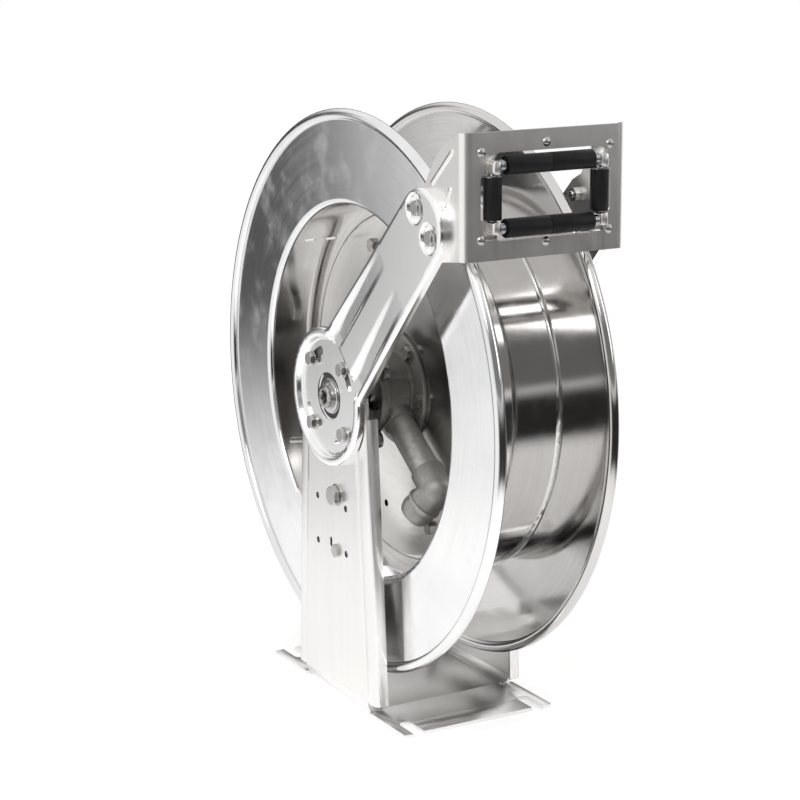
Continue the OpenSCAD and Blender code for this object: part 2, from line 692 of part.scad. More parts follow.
// Arm in its own plane: outer face at z = 0, inner edge at z = arm_depth
module arm_body() difference() {
  linear_extrude(arm_depth) arm_shape();
  // hollow back, leaving the sunk floors
  difference() {
    translate([0, 0, arm_t]) linear_extrude(arm_depth) arm_shape(arm_t);
    cylinder(r = recess_r + arm_t, h = arm_depth + 1);
    for (s = [-1, 1]) translate([arm_len + bolt_out, s * bolt_apart + bolt_side, 0])
      cylinder(r = pocket_r + arm_t, h = arm_depth + 1);
    intersection() {
      linear_extrude(arm_depth + 1) arm_strips(arm_t);
      above_floor(arm_t);
    }
  }
  // hub floor, sunk strips and round pockets
  translate([0, 0, -1]) cylinder(r = recess_r, h = arm_depth - arm_t + 1);
  intersection() {
    translate([0, 0, -1]) linear_extrude(arm_depth + 2) arm_strips();
    above_floor(0);
  }
  for (s = [-1, 1]) translate([arm_len + bolt_out, s * bolt_apart + bolt_side, -1]) {
    cylinder(r = pocket_r, h = arm_depth - arm_t + 1);
    cylinder(r = m8_hole, h = arm_depth + 2);
  }
  // shaft hole and the four curved slots
  translate([0, 0, -1]) cylinder(r = arm_bore_r, h = arm_depth + 2);
  for (k = [0 : 3]) rotate([0, 0, 90 * k]) translate([0, 0, -1]) linear_extrude(arm_depth + 2) curved_slot();
}

module arm_near() color([0.8, 0.8, 0.79]) at_axis() translate([-level_x, 0, 0]) rotate([90, 0, 90])
  rotate([0, 0, 180 - arm_tilt]) arm_body();

module arm_far() color([0.8, 0.8, 0.79]) mirror([1, 0, 0]) arm_near();

module top_bolts() color([0.8, 0.8, 0.79]) both_sides() top_places() {
  xhex(bolt_seat - m8_head, bolt_seat, m8_af);
  xcyl(bolt_seat - 0.5, -ear_x + plate_t + m8_nut + 2.5, m8_r);
}

module top_washers() color([0.8, 0.8, 0.79]) both_sides() top_places()
  xtube(bolt_seat, -face_x - arm_t, m8_washer_r, m8_r + lie);

module top_nuts() color([0.74, 0.74, 0.73]) both_sides() top_places() difference() {
  xhex(-ear_x + plate_t, -ear_x + plate_t + m8_nut, m8_af);
  xcyl(-ear_x, -ear_x + plate_t + m8_nut + 1, m8_r + lie);
}

// ---------- roller outlet ----------

// Ear of the outlet plate in (y, z)
module ear_shape() translate([end_y, end_z]) polygon([
  [-68 + bend_r, plate_h - 24], [-50, plate_h - 29.5], [-34, 84], [-22, 76], [-12, 64], [-2, 52], [4, 41],
  [20, 33], [27, 24], [28, 12], [20, -2], [6, -16], [-10, -27], [-24, -29], [-68 + bend_r, -24]]);

module outlet_plate() color([0.66, 0.64, 0.62]) difference() {
  union() {
    translate([0, plate_y, plate_z]) linear_extrude(plate_h) {
      translate([-ear_x + bend_r, 0]) square([2 * (ear_x - bend_r), plate_t]);
      for (s = [-1, 1]) translate([s * (ear_x - bend_r), bend_r]) intersection() {
        difference() {
          circle(r = bend_r);
          circle(r = bend_r - plate_t);
        }
        translate([s > 0 ? 0 : -bend_r, -bend_r]) square([bend_r, bend_r]);
      }
    }
    both_sides() slab(-ear_x, -ear_x + plate_t) ear_shape();
  }
  // window: a wide opening with two side bays for the standing rollers and room for the cage's lugs
  translate([0, plate_y + plate_t + 1, plate_z]) rotate([90, 0, 0]) linear_extrude(plate_t + 2) {
    translate([-stand_x + 6.5, 18]) square([2 * stand_x - 13, 83]);
    polygon(round_box([-stand_x - 13, 38], [stand_x + 13, 80], 3));
    translate([-stand_x - 9.5, 19]) square([2 * stand_x + 19, 81]);
  }
  rivet_places() translate([0, -5, 0]) rotate([-90, 0, 0]) cylinder(r = 2.45, h = 12);
  both_sides() top_places() xcyl(-ear_x - 1, -ear_x + plate_t + 1, m8_hole);
}

module rivet_places() for (s = [-1 : 1]) for (e = [-1, 1])
  translate([(stand_x + 12) * s, plate_y, plate_z + 61 + e * (s == 0 ? 47 : 41)]) children();

module rivets() color([0.8, 0.8, 0.79]) rivet_places() {
  intersection() {
    translate([0, 3, 0]) sphere(r = 5.4);
    translate([-6, -6, -6]) cube([12, 6, 12]);
  }
  translate([0, -0.5, 0]) rotate([-90, 0, 0]) cylinder(r = 2.4, h = plate_t + 2.5);
  translate([0, plate_t + 2, 0]) rotate([-90, 0, 0]) cylinder(r = 4, h = 1.4);
}

// Backing frame behind the plate, with four lugs that carry the pins
module roller_cage() color([0.72, 0.71, 0.7]) difference() {
  union() {
    translate([0, plate_y + plate_t + 2, plate_z]) rotate([90, 0, 0]) linear_extrude(2) difference() {
      translate([-stand_x - 20, 7]) square([2 * stand_x + 40, 108]);
      translate([-stand_x + 7, 18.5]) square([2 * stand_x - 14, 82]);
      translate([-stand_x - 12.5, 38.2]) square([2 * stand_x + 25, 41.6]);
    }
    both_sides() translate([-stand_x, lying_y, top_roll_z]) lug();
    both_sides() translate([-stand_x, lying_y, low_roll_z]) mirror([0, 0, 1]) lug();
  }
  both_sides() for (z = [top_roll_z, low_roll_z])
    translate([0, lying_y, z]) xcyl(-stand_x - lug_out + 1.2, -lying_l / 2, pin_r + lie);
  for (s = [-1, 1]) translate([s * stand_x, stand_y, low_roll_z + pin_gap - 0.2])
    cylinder(r = pin_r + lie, h = top_roll_z - low_roll_z - 2 * pin_gap + 0.4);
  rivet_places() translate([0, plate_t - 1, 0]) rotate([-90, 0, 0]) cylinder(r = 2.45, h = 6);
}

// Folded lug with round corners, at the upper end of a standing roller
pin_gap = 4.8;                    // a standing pin ends this far from the lying roller's axis
module lug() intersection() {
  rotate([90, 0, 0]) linear_extrude(40, center = true)
    polygon(round_box([-lug_out, -lug_long], [lug_in, lug_short], 3));
  translate([0, 0, -20]) linear_extrude(40)
    polygon(round_box([-lug_out, -lug_nose], [lug_in, plate_y + 15 - lying_y], 3.5));
  translate([-20, -20, -20]) cube([40, plate_y + plate_t + 2 - lying_y + 20, 40]);
}

module lying_pins() color([0.75, 0.75, 0.74]) for (z = [top_roll_z, low_roll_z])
  translate([0, lying_y, z]) xcyl(-stand_x - lug_out + 1.4, stand_x + lug_out - 1.4, pin_r);

// Collars between the lugs and the lying rollers
module lying_collars() both_sides() for (z = [top_roll_z, low_roll_z])
  translate([0, lying_y, z]) xtube(-stand_x + lug_in + lie, -lying_l / 2 - play, 5.4, pin_r + lie);

module standing_pins() color([0.75, 0.75, 0.74]) for (s = [-1, 1])
  translate([s * stand_x, stand_y, low_roll_z + pin_gap])
    cylinder(r = pin_r, h = top_roll_z - low_roll_z - 2 * pin_gap);

// Thin washers on the tops of the standing rollers
standing_washer_t = 1.2;
module standing_washers() for (s = [-1, 1])
  translate([s * stand_x, stand_y, stand_z + standing_l / 2 + play]) difference() {
    cylinder(r = standing_r - 0.8, h = standing_washer_t);
    translate([0, 0, -1]) cylinder(r = pin_r + lie, h = standing_washer_t + 2);
  }

module roller_collars() color([0.5, 0.5, 0.5]) {
  lying_collars();
  standing_washers();
}

// One half of a lying roller
module lying_roller() rotate([0, 90, 0]) difference() {
  cylinder(r = lying_r, h = lying_l / 2 - 0.15);
  translate([0, 0, -1]) cylinder(r = pin_r + run, h = lying_l);
  translate([0, 0, lying_l / 2 - 2]) difference() {
    cylinder(r = lying_r - 1.6, h = 4);
    translate([0, 0, -1]) cylinder(r = pin_r + 2, h = 6);
  }
}

module roller_top_near() color([0.12, 0.12, 0.12]) translate([-0.15, lying_y, top_roll_z])
  mirror([1, 0, 0]) lying_roller();
module roller_top_far() color([0.12, 0.12, 0.12]) translate([0.15, lying_y, top_roll_z]) lying_roller();
module roller_low_near() color([0.12, 0.12, 0.12]) translate([-0.15, lying_y, low_roll_z])
  mirror([1, 0, 0]) lying_roller();
module roller_low_far() color([0.12, 0.12, 0.12]) translate([0.15, lying_y, low_roll_z]) lying_roller();

module standing_roller() translate([0, stand_y, stand_z - standing_l / 2]) difference() {
  cylinder(r = standing_r, h = standing_l);
  translate([0, 0, -1]) cylinder(r = pin_r + run, h = standing_l + 2);
}
module roller_near() color([0.12, 0.12, 0.12]) translate([-stand_x, 0, 0]) standing_roller();
module roller_far() color([0.12, 0.12, 0.12]) translate([stand_x, 0, 0]) standing_roller();

// ---------- output ----------

frame();
shaft();
shaft_collar();
shaft_screw();
shaft_nut();
spacer_sleeves();
inlet_adapter();
spring_arbor();
arbor_key();
friction_discs();
hub_bolts();
hub_washers();
hub_nuts();
stop_pin();
latch_bolt();
latch_washer();
latch_clip();
latch_spring();
post_bolt();
post_nut();
pawl();
flange_near();
flange_far();
barrel_near();
barrel_far();
centre_band();
web_disc();
web_ring();
web_bolts();
web_nuts();
hub();
hub_flange_bolts();
hub_flange_nuts();
bearings();
swivel_body();
swivel_seals();
ratchet();
ratchet_screws();
riser_pipe();
elbow();
spring_case();
case_hub();
power_spring();
arm_near();
arm_far();
outlet_plate();
roller_cage();
rivets();
top_bolts();
top_washers();
top_nuts();
lying_pins();
standing_pins();
roller_collars();
roller_top_near();
roller_top_far();
roller_low_near();
roller_low_far();
roller_near();
roller_far();
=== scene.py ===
import json
import math

import bmesh
import bpy
import numpy as np
from mathutils import Matrix, Vector, geometry, kdtree


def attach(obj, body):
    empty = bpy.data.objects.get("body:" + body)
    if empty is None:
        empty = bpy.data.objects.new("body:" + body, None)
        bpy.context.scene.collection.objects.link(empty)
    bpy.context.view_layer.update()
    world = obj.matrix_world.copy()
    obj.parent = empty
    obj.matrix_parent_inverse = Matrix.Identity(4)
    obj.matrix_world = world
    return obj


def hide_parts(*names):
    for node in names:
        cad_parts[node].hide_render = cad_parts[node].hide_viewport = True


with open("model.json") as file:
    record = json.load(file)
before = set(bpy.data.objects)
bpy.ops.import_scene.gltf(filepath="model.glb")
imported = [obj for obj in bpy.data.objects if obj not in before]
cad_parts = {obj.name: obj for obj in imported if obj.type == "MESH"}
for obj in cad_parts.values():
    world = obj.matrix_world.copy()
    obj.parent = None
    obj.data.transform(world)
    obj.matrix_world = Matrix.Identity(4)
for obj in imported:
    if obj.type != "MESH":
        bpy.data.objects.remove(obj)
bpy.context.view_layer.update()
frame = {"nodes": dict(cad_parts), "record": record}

# Metres in the scene; the sizes below are in millimetres and MM turns them into metres.
MM = 0.001

# ---------- the reel's sizes ----------

AXIS_Z = 334.0             # height of the shaft's axis
UPRIGHT_X = 90.0           # outer face of an upright
FOOT_HALF = 92.0           # half width of an upright at the floor
TOP_HALF = 73.0            # half width of an upright at the shaft
ARM_LEVEL = 100.0          # outermost face of an arm
ARM_DEPTH = 9.0            # how far an arm's edge is turned down
ARM_SHEET = 2.9            # thickness of an arm
ARM_CORNER = 3.4           # radius of an arm's turned-down edge
ARM_GRID = 1.9             # distance between the points of an arm's face
ARM_LEN = 287.0            # from the shaft to the middle of an arm's far end
ARM_TILT = 45.0            # degrees that the arms rise towards the outlet
ARM_HUB_R = 74.0
ARM_END_R = 40.0
ARM_ROOT_HALF = 49.5       # half width that the straight sides would have at the shaft
ARM_WAIST_EASE = 9.0       # rounding where the sides meet the hub
ARM_BORE_R = 25.5
HUB_RECESS_R = 66.0
PRESS_DEPTH = 6.0          # depth of the pressed recesses
POCKET_R = 15.0
POCKETS = ((294.2, -20.4), (294.2, 16.4))
BOLT_CIRCLE_R = 49.0       # bolts and curved slots of the arms' hubs
SLOT_HALF = 5.0            # half width of a curved slot
SLOT_SWEEP = 25.0          # degrees from one end of a slot to the other
END_Y = -ARM_LEN * math.cos(math.radians(ARM_TILT))
END_Z = AXIS_Z + ARM_LEN * math.sin(math.radians(ARM_TILT))
EAR_X = 91.0               # outer face of the outlet's ears

# Hexagon bolts: height of the head, width across its flats, radius of the shank.
M8 = (5.3, 13, 4)
M12 = (7.5, 19, 6)
CROWN_SHARE = 0.96         # radius of the flat crown, as a share of half the width across flats
CROWN_SLOPE = 0.577        # a 30 degree chamfer
SHANK_TIP = 0.8            # chamfer at the shank's end
ARM_SEAT = 95.6            # face of the washers on the arms, from the middle
WEB_CIRCLE_R = 156         # bolts of the web disc
RING_CIRCLE_R = 53         # bolts of the hub's flange
LATCH_PIVOT = (-10, AXIS_Z - 106)
SPRING_POST = (-8, AXIS_Z - 168)
# Degrees about the shaft, from the back upwards.
HUB_BOLT_TURNS = range(135, 495, 90)
WEB_BOLT_TURNS = (8, 70.5, 128, 186, 244, 306)
RING_BOLT_TURNS = [245.5 + 60 * k for k in range(6)]

# ---------- camera ----------

CAMERA_AT = (-1.1089, -1.9582, 0.8396)
CAMERA_RIGHT = (0.8708, -0.4916, -0.0077)
CAMERA_UP = (0.1175, 0.1927, 0.9742)
LENS = 96.5


def place_camera():
    """Sets the camera where it looks at the latch side and the roller outlet."""
    data = bpy.data.cameras.new("camera")
    data.lens = LENS
    data.sensor_width = 36.0
    data.clip_end = 50.0
    camera = bpy.data.objects.new("camera", data)
    bpy.context.scene.collection.objects.link(camera)
    right = Vector(CAMERA_RIGHT).normalized()
    back = right.cross(Vector(CAMERA_UP)).normalized()
    up = back.cross(right)
    turn = Matrix((right, up, back)).transposed().to_4x4()
    camera.matrix_world = Matrix.Translation(CAMERA_AT) @ turn
    bpy.context.scene.camera = camera


# ---------- node building ----------

class Board:
    """Adds nodes to a material or a group, and wires them in the order they are written."""

    def __init__(self, tree):
        self.tree = tree

    def node(self, kind, **settings):
        made = self.tree.nodes.new(kind)
        for key, value in settings.items():
            setattr(made, key, value)
        return made

    def feed(self, socket, value):
        if isinstance(value, bpy.types.NodeSocket):
            self.tree.links.new(value, socket)
        elif value is not None:
            socket.default_value = value

    def math(self, operation, a, b=None, c=None, clamp=False):
        made = self.node("ShaderNodeMath", operation=operation, use_clamp=clamp)
        for i, value in enumerate((a, b, c)):
            self.feed(made.inputs[i], value)
        return made.outputs[0]

    def length(self, a, b):
        """Distance from the middle, by its two directions."""
        squares = self.math("ADD", self.math("MULTIPLY", a, a), self.math("MULTIPLY", b, b))
        return self.math("SQRT", squares)

    def vector(self, operation, a, b=None):
        made = self.node("ShaderNodeVectorMath", operation=operation)
        self.feed(made.inputs[0], a)
        self.feed(made.inputs[1], b)
        return made.outputs[0]

    def joined(self, x, y, z):
        made = self.node("ShaderNodeCombineXYZ")
        for i, value in enumerate((x, y, z)):
            self.feed(made.inputs[i], value)
        return made.outputs[0]

    def split(self, vector):
        made = self.node("ShaderNodeSeparateXYZ")
        self.feed(made.inputs[0], vector)
        return made.outputs

    def noise(self, vector, scale, detail, roughness, distortion=0.0):
        made = self.node("ShaderNodeTexNoise", noise_dimensions="3D")
        self.feed(made.inputs["Vector"], vector)
        self.feed(made.inputs["Scale"], scale)
        self.feed(made.inputs["Detail"], detail)
        self.feed(made.inputs["Roughness"], roughness)
        self.feed(made.inputs["Distortion"], distortion)
        return made.outputs[0]

    def span(self, value, low, high, to_low=0.0, to_high=1.0, smooth=True):
        curve = "SMOOTHSTEP" if smooth else "LINEAR"
        made = self.node("ShaderNodeMapRange", interpolation_type=curve)
        for i, v in enumerate((value, low, high, to_low, to_high)):
            self.feed(made.inputs[i], v)
        return made.outputs[0]

    def mix(self, factor, a, b):
        made = self.node("ShaderNodeMix", data_type="RGBA", blend_type="MIX")
        self.feed(made.inputs["Factor"], factor)
        self.feed(made.inputs[6], a)
        self.feed(made.inputs[7], b)
        return made.outputs[2]


def new_group(name, inputs, outputs):
    """An empty shader group with named sockets; returns the tree, its board and both ends."""
    tree = bpy.data.node_groups.new(name, "ShaderNodeTree")
    for label, kind, start in inputs:
        socket = tree.interface.new_socket(label, in_out="INPUT", socket_type=kind)
        if start is not None:
            socket.default_value = start
    for label, kind in outputs:
        tree.interface.new_socket(label, in_out="OUTPUT", socket_type=kind)
    board = Board(tree)
    return tree, board, board.node("NodeGroupInput").outputs, board.node("NodeGroupOutput").inputs


FLOAT, VECTOR = "NodeSocketFloat", "NodeSocketVector"


def make_brushing():
    """Fine streaks: noise that is long one way and short across it."""
    tree, board, given, out = new_group(
        "brushing",
        (("Along Streaks", VECTOR, None), ("Fineness", FLOAT, 1.0)),
        (("Grain", FLOAT), ("Height", FLOAT)))
    along = given["Along Streaks"]
    fine = board.noise(along, given["Fineness"], 4.0, 0.6)
    broad = board.noise(along, board.math("MULTIPLY", given["Fineness"], 0.23), 2.0, 0.5)
    grain = board.math("ADD", board.math("MULTIPLY", fine, 0.6), board.math("MULTIPLY", broad, 0.4))
    board.feed(out["Grain"], board.span(grain, 0.3, 0.7, 0.0, 1.0, smooth=False))
    board.feed(out["Height"], grain)
    return tree


def make_round_streaks():
    """Turns a place on the drum into one that runs round the shaft."""
    tree, board, given, out = new_group(
        "round_streaks",
        (("Place", VECTOR, None), ("Across", FLOAT, 900.0), ("Round", FLOAT, 3.0)),
        (("Streaks", VECTOR),))
    x, y, z = board.split(given["Place"])
    z = board.math("SUBTRACT", z, AXIS_Z * MM)
    radius = board.length(y, z)
    across = board.math("MULTIPLY", board.math("ADD", radius, x), given["Across"])
    over = board.math("DIVIDE", given["Round"], board.math("MAXIMUM", radius, 0.001))
    streaks = board.joined(across, board.math("MULTIPLY", y, over), board.math("MULTIPLY", z, over))
    board.feed(out["Streaks"], streaks)
    return tree


def make_handling():
    """Clouds of handling marks and a thin haze, larger than the streaks."""
    tree, board, given, out = new_group(
        "handling",
        (("Place", VECTOR, None), ("Size", FLOAT, 14.0), ("Amount", FLOAT, 0.5)),
        (("Haze", FLOAT), ("Smears", FLOAT)))
    haze = board.noise(given["Place"], given["Size"], 3.0, 0.55, 0.4)
    smears = board.noise(given["Place"], board.math("MULTIPLY", given["Size"], 3.1), 3.0, 0.55, 0.15)
    board.feed(out["Haze"], board.math("MULTIPLY", board.span(haze, 0.35, 0.7), given["Amount"]))
    board.feed(out["Smears"], board.math("MULTIPLY", board.span(smears, 0.45, 0.8), given["Amount"]))
    return tree


def make_wear_and_hollow_shade():
    """Rubbed edges, and painted shade in hollows, from how sharply the surface bends."""
    tree, board, given, out = new_group(
        "wear_and_hollow_shade",
        (("Place", VECTOR, None), ("Wear", FLOAT, 0.5)),
        (("Worn", FLOAT), ("Hollow Shade", FLOAT)))
    bend = board.node("ShaderNodeNewGeometry").outputs["Pointiness"]
    broken = board.span(board.noise(given["Place"], 160.0, 3.0, 0.6), 0.3, 0.65, 0.3, 1.0)
    worn = board.math("MULTIPLY", board.span(bend, 0.51, 0.58), broken)
    board.feed(out["Worn"], board.math("MULTIPLY", worn, given["Wear"]))
    # painted shade where the surface bends inwards
    board.feed(out["Hollow Shade"], board.math("MULTIPLY", board.span(bend, 0.49, 0.42), given["Wear"]))
    return tree


GROUPS = {"brushing": make_brushing(), "round_streaks": make_round_streaks(),
          "handling": make_handling(), "wear_and_hollow_shade": make_wear_and_hollow_shade()}


def place_group(board, name, **values):
    """Adds a group with its own values; an underscore stands for a space in a socket's name."""
    made = board.node("ShaderNodeGroup", node_tree=GROUPS[name])
    for key, value in values.items():
        board.feed(made.inputs[key.replace("_", " ")], value)
    return made.outputs


HAZE_TINT = 0.45           # how far haze takes the colour to its shade
HOLLOW_SHADE_TINT = 0.7           # and painted shade in hollows to its own
HOLLOW_SHADE_TONE = 0.45         # painted shade in hollows, and painted shade about the hub below, as shares of the shade
HUB_SHADE_TONE = 0.32
WORN_LIGHT = 1.18          # rubbed edges, as a share of the colour
SMEAR_ROUGHNESS = 0.12     # what smears and rubbing add to the roughness
WORN_ROUGHNESS = -0.06
RELIEF = 0.0006            # metres
HUB_SHADE_REACH = (0.2, 0.1)     # painted shade about the hub thins out between these distances from the shaft, in metres
HUB_SHADE_LEVEL = (-0.09, 0.02)  # and below these levels


def dimmed(colour, share):
    """A colour made darker or lighter, with full alpha."""
    return tuple(min(1.0, share * c) for c in colour) + (1,)


def metal(name, colour, shade, roughness, stretch=(900.0, 3.0), grain=0.5, bump=0.05, spread=0.08,
          haze=0.5, haze_size=14.0, wear_and_shade=0.5, anisotropy=0.0, metallic=1.0, gloss=0.5, hub_shade=0.0):
    """Steel, plastic or rubber: streaks, handling marks, rubbed edges, painted shade in hollows and
    about the hub, and a fine relief.

    Two numbers in stretch lay the streaks round the shaft, three lay them straight.
    """
    material = bpy.data.materials.new(name)
    material.use_nodes = True
    board = Board(material.node_tree)
    shader = material.node_tree.nodes["Principled BSDF"]
    place = board.node("ShaderNodeTexCoord").outputs["Object"]
    if len(stretch) == 2:
        across, turn = stretch
        along = place_group(board, "round_streaks", Place=place, Across=across, Round=turn)["Streaks"]
    else:
        along = board.vector("MULTIPLY", place, stretch)
    brushed = place_group(board, "brushing", Along_Streaks=along, Fineness=1.0)
    marks = place_group(board, "handling", Place=place, Size=haze_size, Amount=haze)
    edges = place_group(board, "wear_and_hollow_shade", Place=place, Wear=wear_and_shade)

    streaky = board.math("MULTIPLY", brushed["Grain"], grain)
    tone = board.mix(streaky, dimmed(colour, 1.0), dimmed(shade, 1.0))
    tone = board.mix(board.math("MULTIPLY", marks["Haze"], HAZE_TINT), tone, dimmed(shade, 1.0))
    # painted shade: darker near the hub and above the shaft
    if hub_shade:
        y, z = board.split(place)[1:]
        z = board.math("SUBTRACT", z, AXIS_Z * MM)
        near_shaft = board.span(board.length(y, z), *HUB_SHADE_REACH)
        hub_shade_mask = board.math("MULTIPLY", near_shaft, board.span(z, *HUB_SHADE_LEVEL, 0.0, hub_shade))
        tone = board.mix(hub_shade_mask, tone, dimmed(shade, HUB_SHADE_TONE))
    # painted shade in hollows, darker where the surface bends inwards
    hollow_shade = board.math("MULTIPLY", edges["Hollow Shade"], HOLLOW_SHADE_TINT)
    tone = board.mix(hollow_shade, tone, dimmed(shade, HOLLOW_SHADE_TONE))
    tone = board.mix(edges["Worn"], tone, dimmed(colour, WORN_LIGHT))

    off_middle = board.math("SUBTRACT", brushed["Grain"], 0.5)
    rough = board.math("MULTIPLY_ADD", off_middle, spread, roughness)
    rough = board.math("MULTIPLY_ADD", marks["Smears"], SMEAR_ROUGHNESS, rough)
    rough = board.math("MULTIPLY_ADD", edges["Worn"], WORN_ROUGHNESS, rough, clamp=True)

    relief = board.node("ShaderNodeBump")
    relief.inputs["Strength"].default_value = bump
    relief.inputs["Distance"].default_value = RELIEF
    board.feed(relief.inputs["Height"], brushed["Height"])
    board.feed(shader.inputs["Base Color"], tone)
    board.feed(shader.inputs["Roughness"], rough)
    board.feed(shader.inputs["Normal"], relief.outputs[0])
    shader.inputs["Metallic"].default_value = metallic
    shader.inputs["Specular IOR Level"].default_value = gloss
    if anisotropy:
        shader.inputs["Anisotropic"].default_value = anisotropy
        tangent = board.node("ShaderNodeTangent", direction_type="RADIAL", axis="X")
        board.feed(shader.inputs["Tangent"], tangent.outputs[0])
    return material


UPRIGHT_STREAKS = (700.0, 700.0, 9.0)
CLOUDS = (160.0, 160.0, 160.0)
METALS = {
    "polished_sheet": dict(
        colour=(0.9, 0.898, 0.892), shade=(0.66, 0.664, 0.68), roughness=0.1, stretch=(1400.0, 4.0),
        grain=0.35, bump=0.025, spread=0.06, haze=0.9, haze_size=9.0, wear_and_shade=0.0, anisotropy=0.5),
    "rolled_sheet": dict(
        colour=(0.7, 0.688, 0.676), shade=(0.52, 0.51, 0.5), roughness=0.085, stretch=(1400.0, 4.0),
        grain=0.4, bump=0.012, spread=0.05, haze=0.45, haze_size=9.0, wear_and_shade=0.0, anisotropy=0.5),
    "stainless_sheet": dict(
        colour=(0.93, 0.93, 0.925), shade=(0.82, 0.82, 0.81), roughness=0.2, stretch=UPRIGHT_STREAKS,
        grain=0.25, bump=0.03, haze=0.15, wear_and_shade=0.2),
    "frame_sheet": dict(
        colour=(0.87, 0.858, 0.842), shade=(0.74, 0.726, 0.708), roughness=0.32,
        stretch=UPRIGHT_STREAKS, grain=0.3, bump=0.04, haze=0.15, wear_and_shade=0.35),
    # this metal carries painted shade about the hub, darker above the shaft
    "satin_sheet": dict(
        colour=(0.92, 0.91, 0.89), shade=(0.68, 0.665, 0.645), roughness=0.2, bump=0.03, haze=0.2,
        wear_and_shade=0.0, anisotropy=0.5, hub_shade=0.85),
    "brushed_sheet": dict(
        colour=(0.95, 0.925, 0.9), shade=(0.78, 0.757, 0.735), roughness=0.32,
        stretch=(620.0, 620.0, 7.0), grain=0.7, bump=0.07, haze=0.3, wear_and_shade=0.2),
    "stainless_fasteners": dict(
        colour=(0.5, 0.49, 0.475), shade=(0.3, 0.293, 0.28), roughness=0.24, stretch=CLOUDS,
        haze_size=60.0, wear_and_shade=0.8),
    "turned_steel": dict(
        colour=(0.66, 0.655, 0.645), shade=(0.42, 0.415, 0.405), roughness=0.22,
        stretch=(1600.0, 3.0), bump=0.08, wear_and_shade=0.7, anisotropy=0.4),
    "cast_steel": dict(
        colour=(0.41, 0.405, 0.385), shade=(0.24, 0.237, 0.222), roughness=0.5,
        stretch=(420.0, 420.0, 420.0), grain=0.55, bump=0.22, haze=0.8, haze_size=40.0, wear_and_shade=0.9,
        metallic=0.75),
    "cut_steel": dict(
        colour=(0.4, 0.395, 0.385), shade=(0.22, 0.215, 0.21), roughness=0.34, stretch=CLOUDS,
        bump=0.08, wear_and_shade=0.9),
    "bearing_steel": dict(
        colour=(0.62, 0.63, 0.64), shade=(0.4, 0.41, 0.42), roughness=0.16, stretch=(1800.0, 3.0),
        grain=0.4, wear_and_shade=0.6),
    "spring_steel": dict(
        colour=(0.34, 0.35, 0.37), shade=(0.16, 0.165, 0.18), roughness=0.28, stretch=CLOUDS,
        wear_and_shade=0.7),
    "black_screws": dict(
        colour=(0.05, 0.05, 0.052), shade=(0.02, 0.02, 0.02), roughness=0.35, stretch=CLOUDS,
        wear_and_shade=0.9),
    "friction_lining": dict(
        colour=(0.2, 0.19, 0.17), shade=(0.09, 0.085, 0.08), roughness=0.75,
        stretch=(500.0, 500.0, 500.0), grain=0.8, bump=0.3, wear_and_shade=0.4, metallic=0.0),
    "seal_rubber": dict(
        colour=(0.03, 0.03, 0.03), shade=(0.015, 0.015, 0.015), roughness=0.55,
        stretch=(300.0, 300.0, 300.0), bump=0.1, wear_and_shade=0.2, metallic=0.0),
    "roller_plastic": dict(
        colour=(0.011, 0.011, 0.012), shade=(0.005, 0.005, 0.0055), roughness=0.5,
        stretch=(240.0, 240.0, 240.0), grain=0.6, bump=0.1, haze=0.8, haze_size=50.0, wear_and_shade=0.6,
        metallic=0.0, gloss=0.16),
}


# ---------- light and floor ----------

WHITE, BLACK = (1, 1, 1, 1), (0.0, 0.0, 0.0, 1)
LOW_BAND = 0.97            # how dark each band is where it is mirrored
MIDDLE_BAND = 0.78
REAR_BAND = 0.93
FILL_LIGHT = 0.72          # the studio's light on what isn't a mirror
FLOOR_HALF = 8
FLOOR_DROP = 0.0005        # the floor lies just under the feet
FLOOR_GLOW = 0.34          # keeps the floor as white as the background
FLOOR_MIRRORED = (0.55, 1.0)   # the floor fades from mirrors between these distances
FLOOR_SEEN = (2.5, 5.0)        # and from sight between these


def world_light():
    """White studio: soft dark bands show only in what the metal mirrors.

    The low and middle bands stand before the reel. The rear one stands behind it, and its foot
    is higher away from the latch side.
    """
    world = bpy.data.worlds.new("studio")
    bpy.context.scene.world = world
    world.use_nodes = True
    board = Board(world.node_tree)
    background = world.node_tree.nodes["Background"]
    x, y, z = board.split(board.node("ShaderNodeTexCoord").outputs["Generated"])
    forwards = board.math("MULTIPLY_ADD", y, -1.0, board.math("MULTIPLY", x, 0.25))
    ahead = board.span(forwards, -0.05, 0.55)
    low = board.math("MULTIPLY", board.span(z, -0.5, -0.38), board.span(z, 0.06, -0.06))
    middle = board.math("MULTIPLY", board.span(z, 0.02, 0.1), board.span(z, 0.7, 0.42))
    behind = board.math("MULTIPLY", board.span(y, 0.35, 0.8), board.span(x, -0.52, -0.44))
    straight_on = board.math("MAXIMUM", board.math("ADD", x, 0.4), 0.0)
    raised = board.math("MULTIPLY_ADD", straight_on, 0.8, z)
    height = board.math("MULTIPLY", board.span(raised, -0.28, -0.17), board.span(z, 0.5, 0.1))
    behind = board.math("MULTIPLY", behind, height)
    bands = ((board.math("MULTIPLY", ahead, low), LOW_BAND),
             (board.math("MULTIPLY", ahead, middle), MIDDLE_BAND),
             (behind, REAR_BAND))
    light = 1.0
    for mask, depth in bands:
        left = board.math("SUBTRACT", 1.0, board.math("MULTIPLY", mask, depth))
        light = board.math("MULTIPLY", light, left)
    glossy = board.node("ShaderNodeLightPath").outputs["Is Glossy Ray"]
    mirrored = board.mix(light, BLACK, WHITE)
    board.feed(background.inputs["Color"], board.mix(glossy, WHITE, mirrored))
    camera_ray = board.node("ShaderNodeLightPath").outputs["Is Camera Ray"]
    either = board.math("MAXIMUM", camera_ray, glossy)
    strength = board.span(either, 0.0, 1.0, FILL_LIGHT, 1.0, smooth=False)
    board.feed(background.inputs["Strength"], strength)


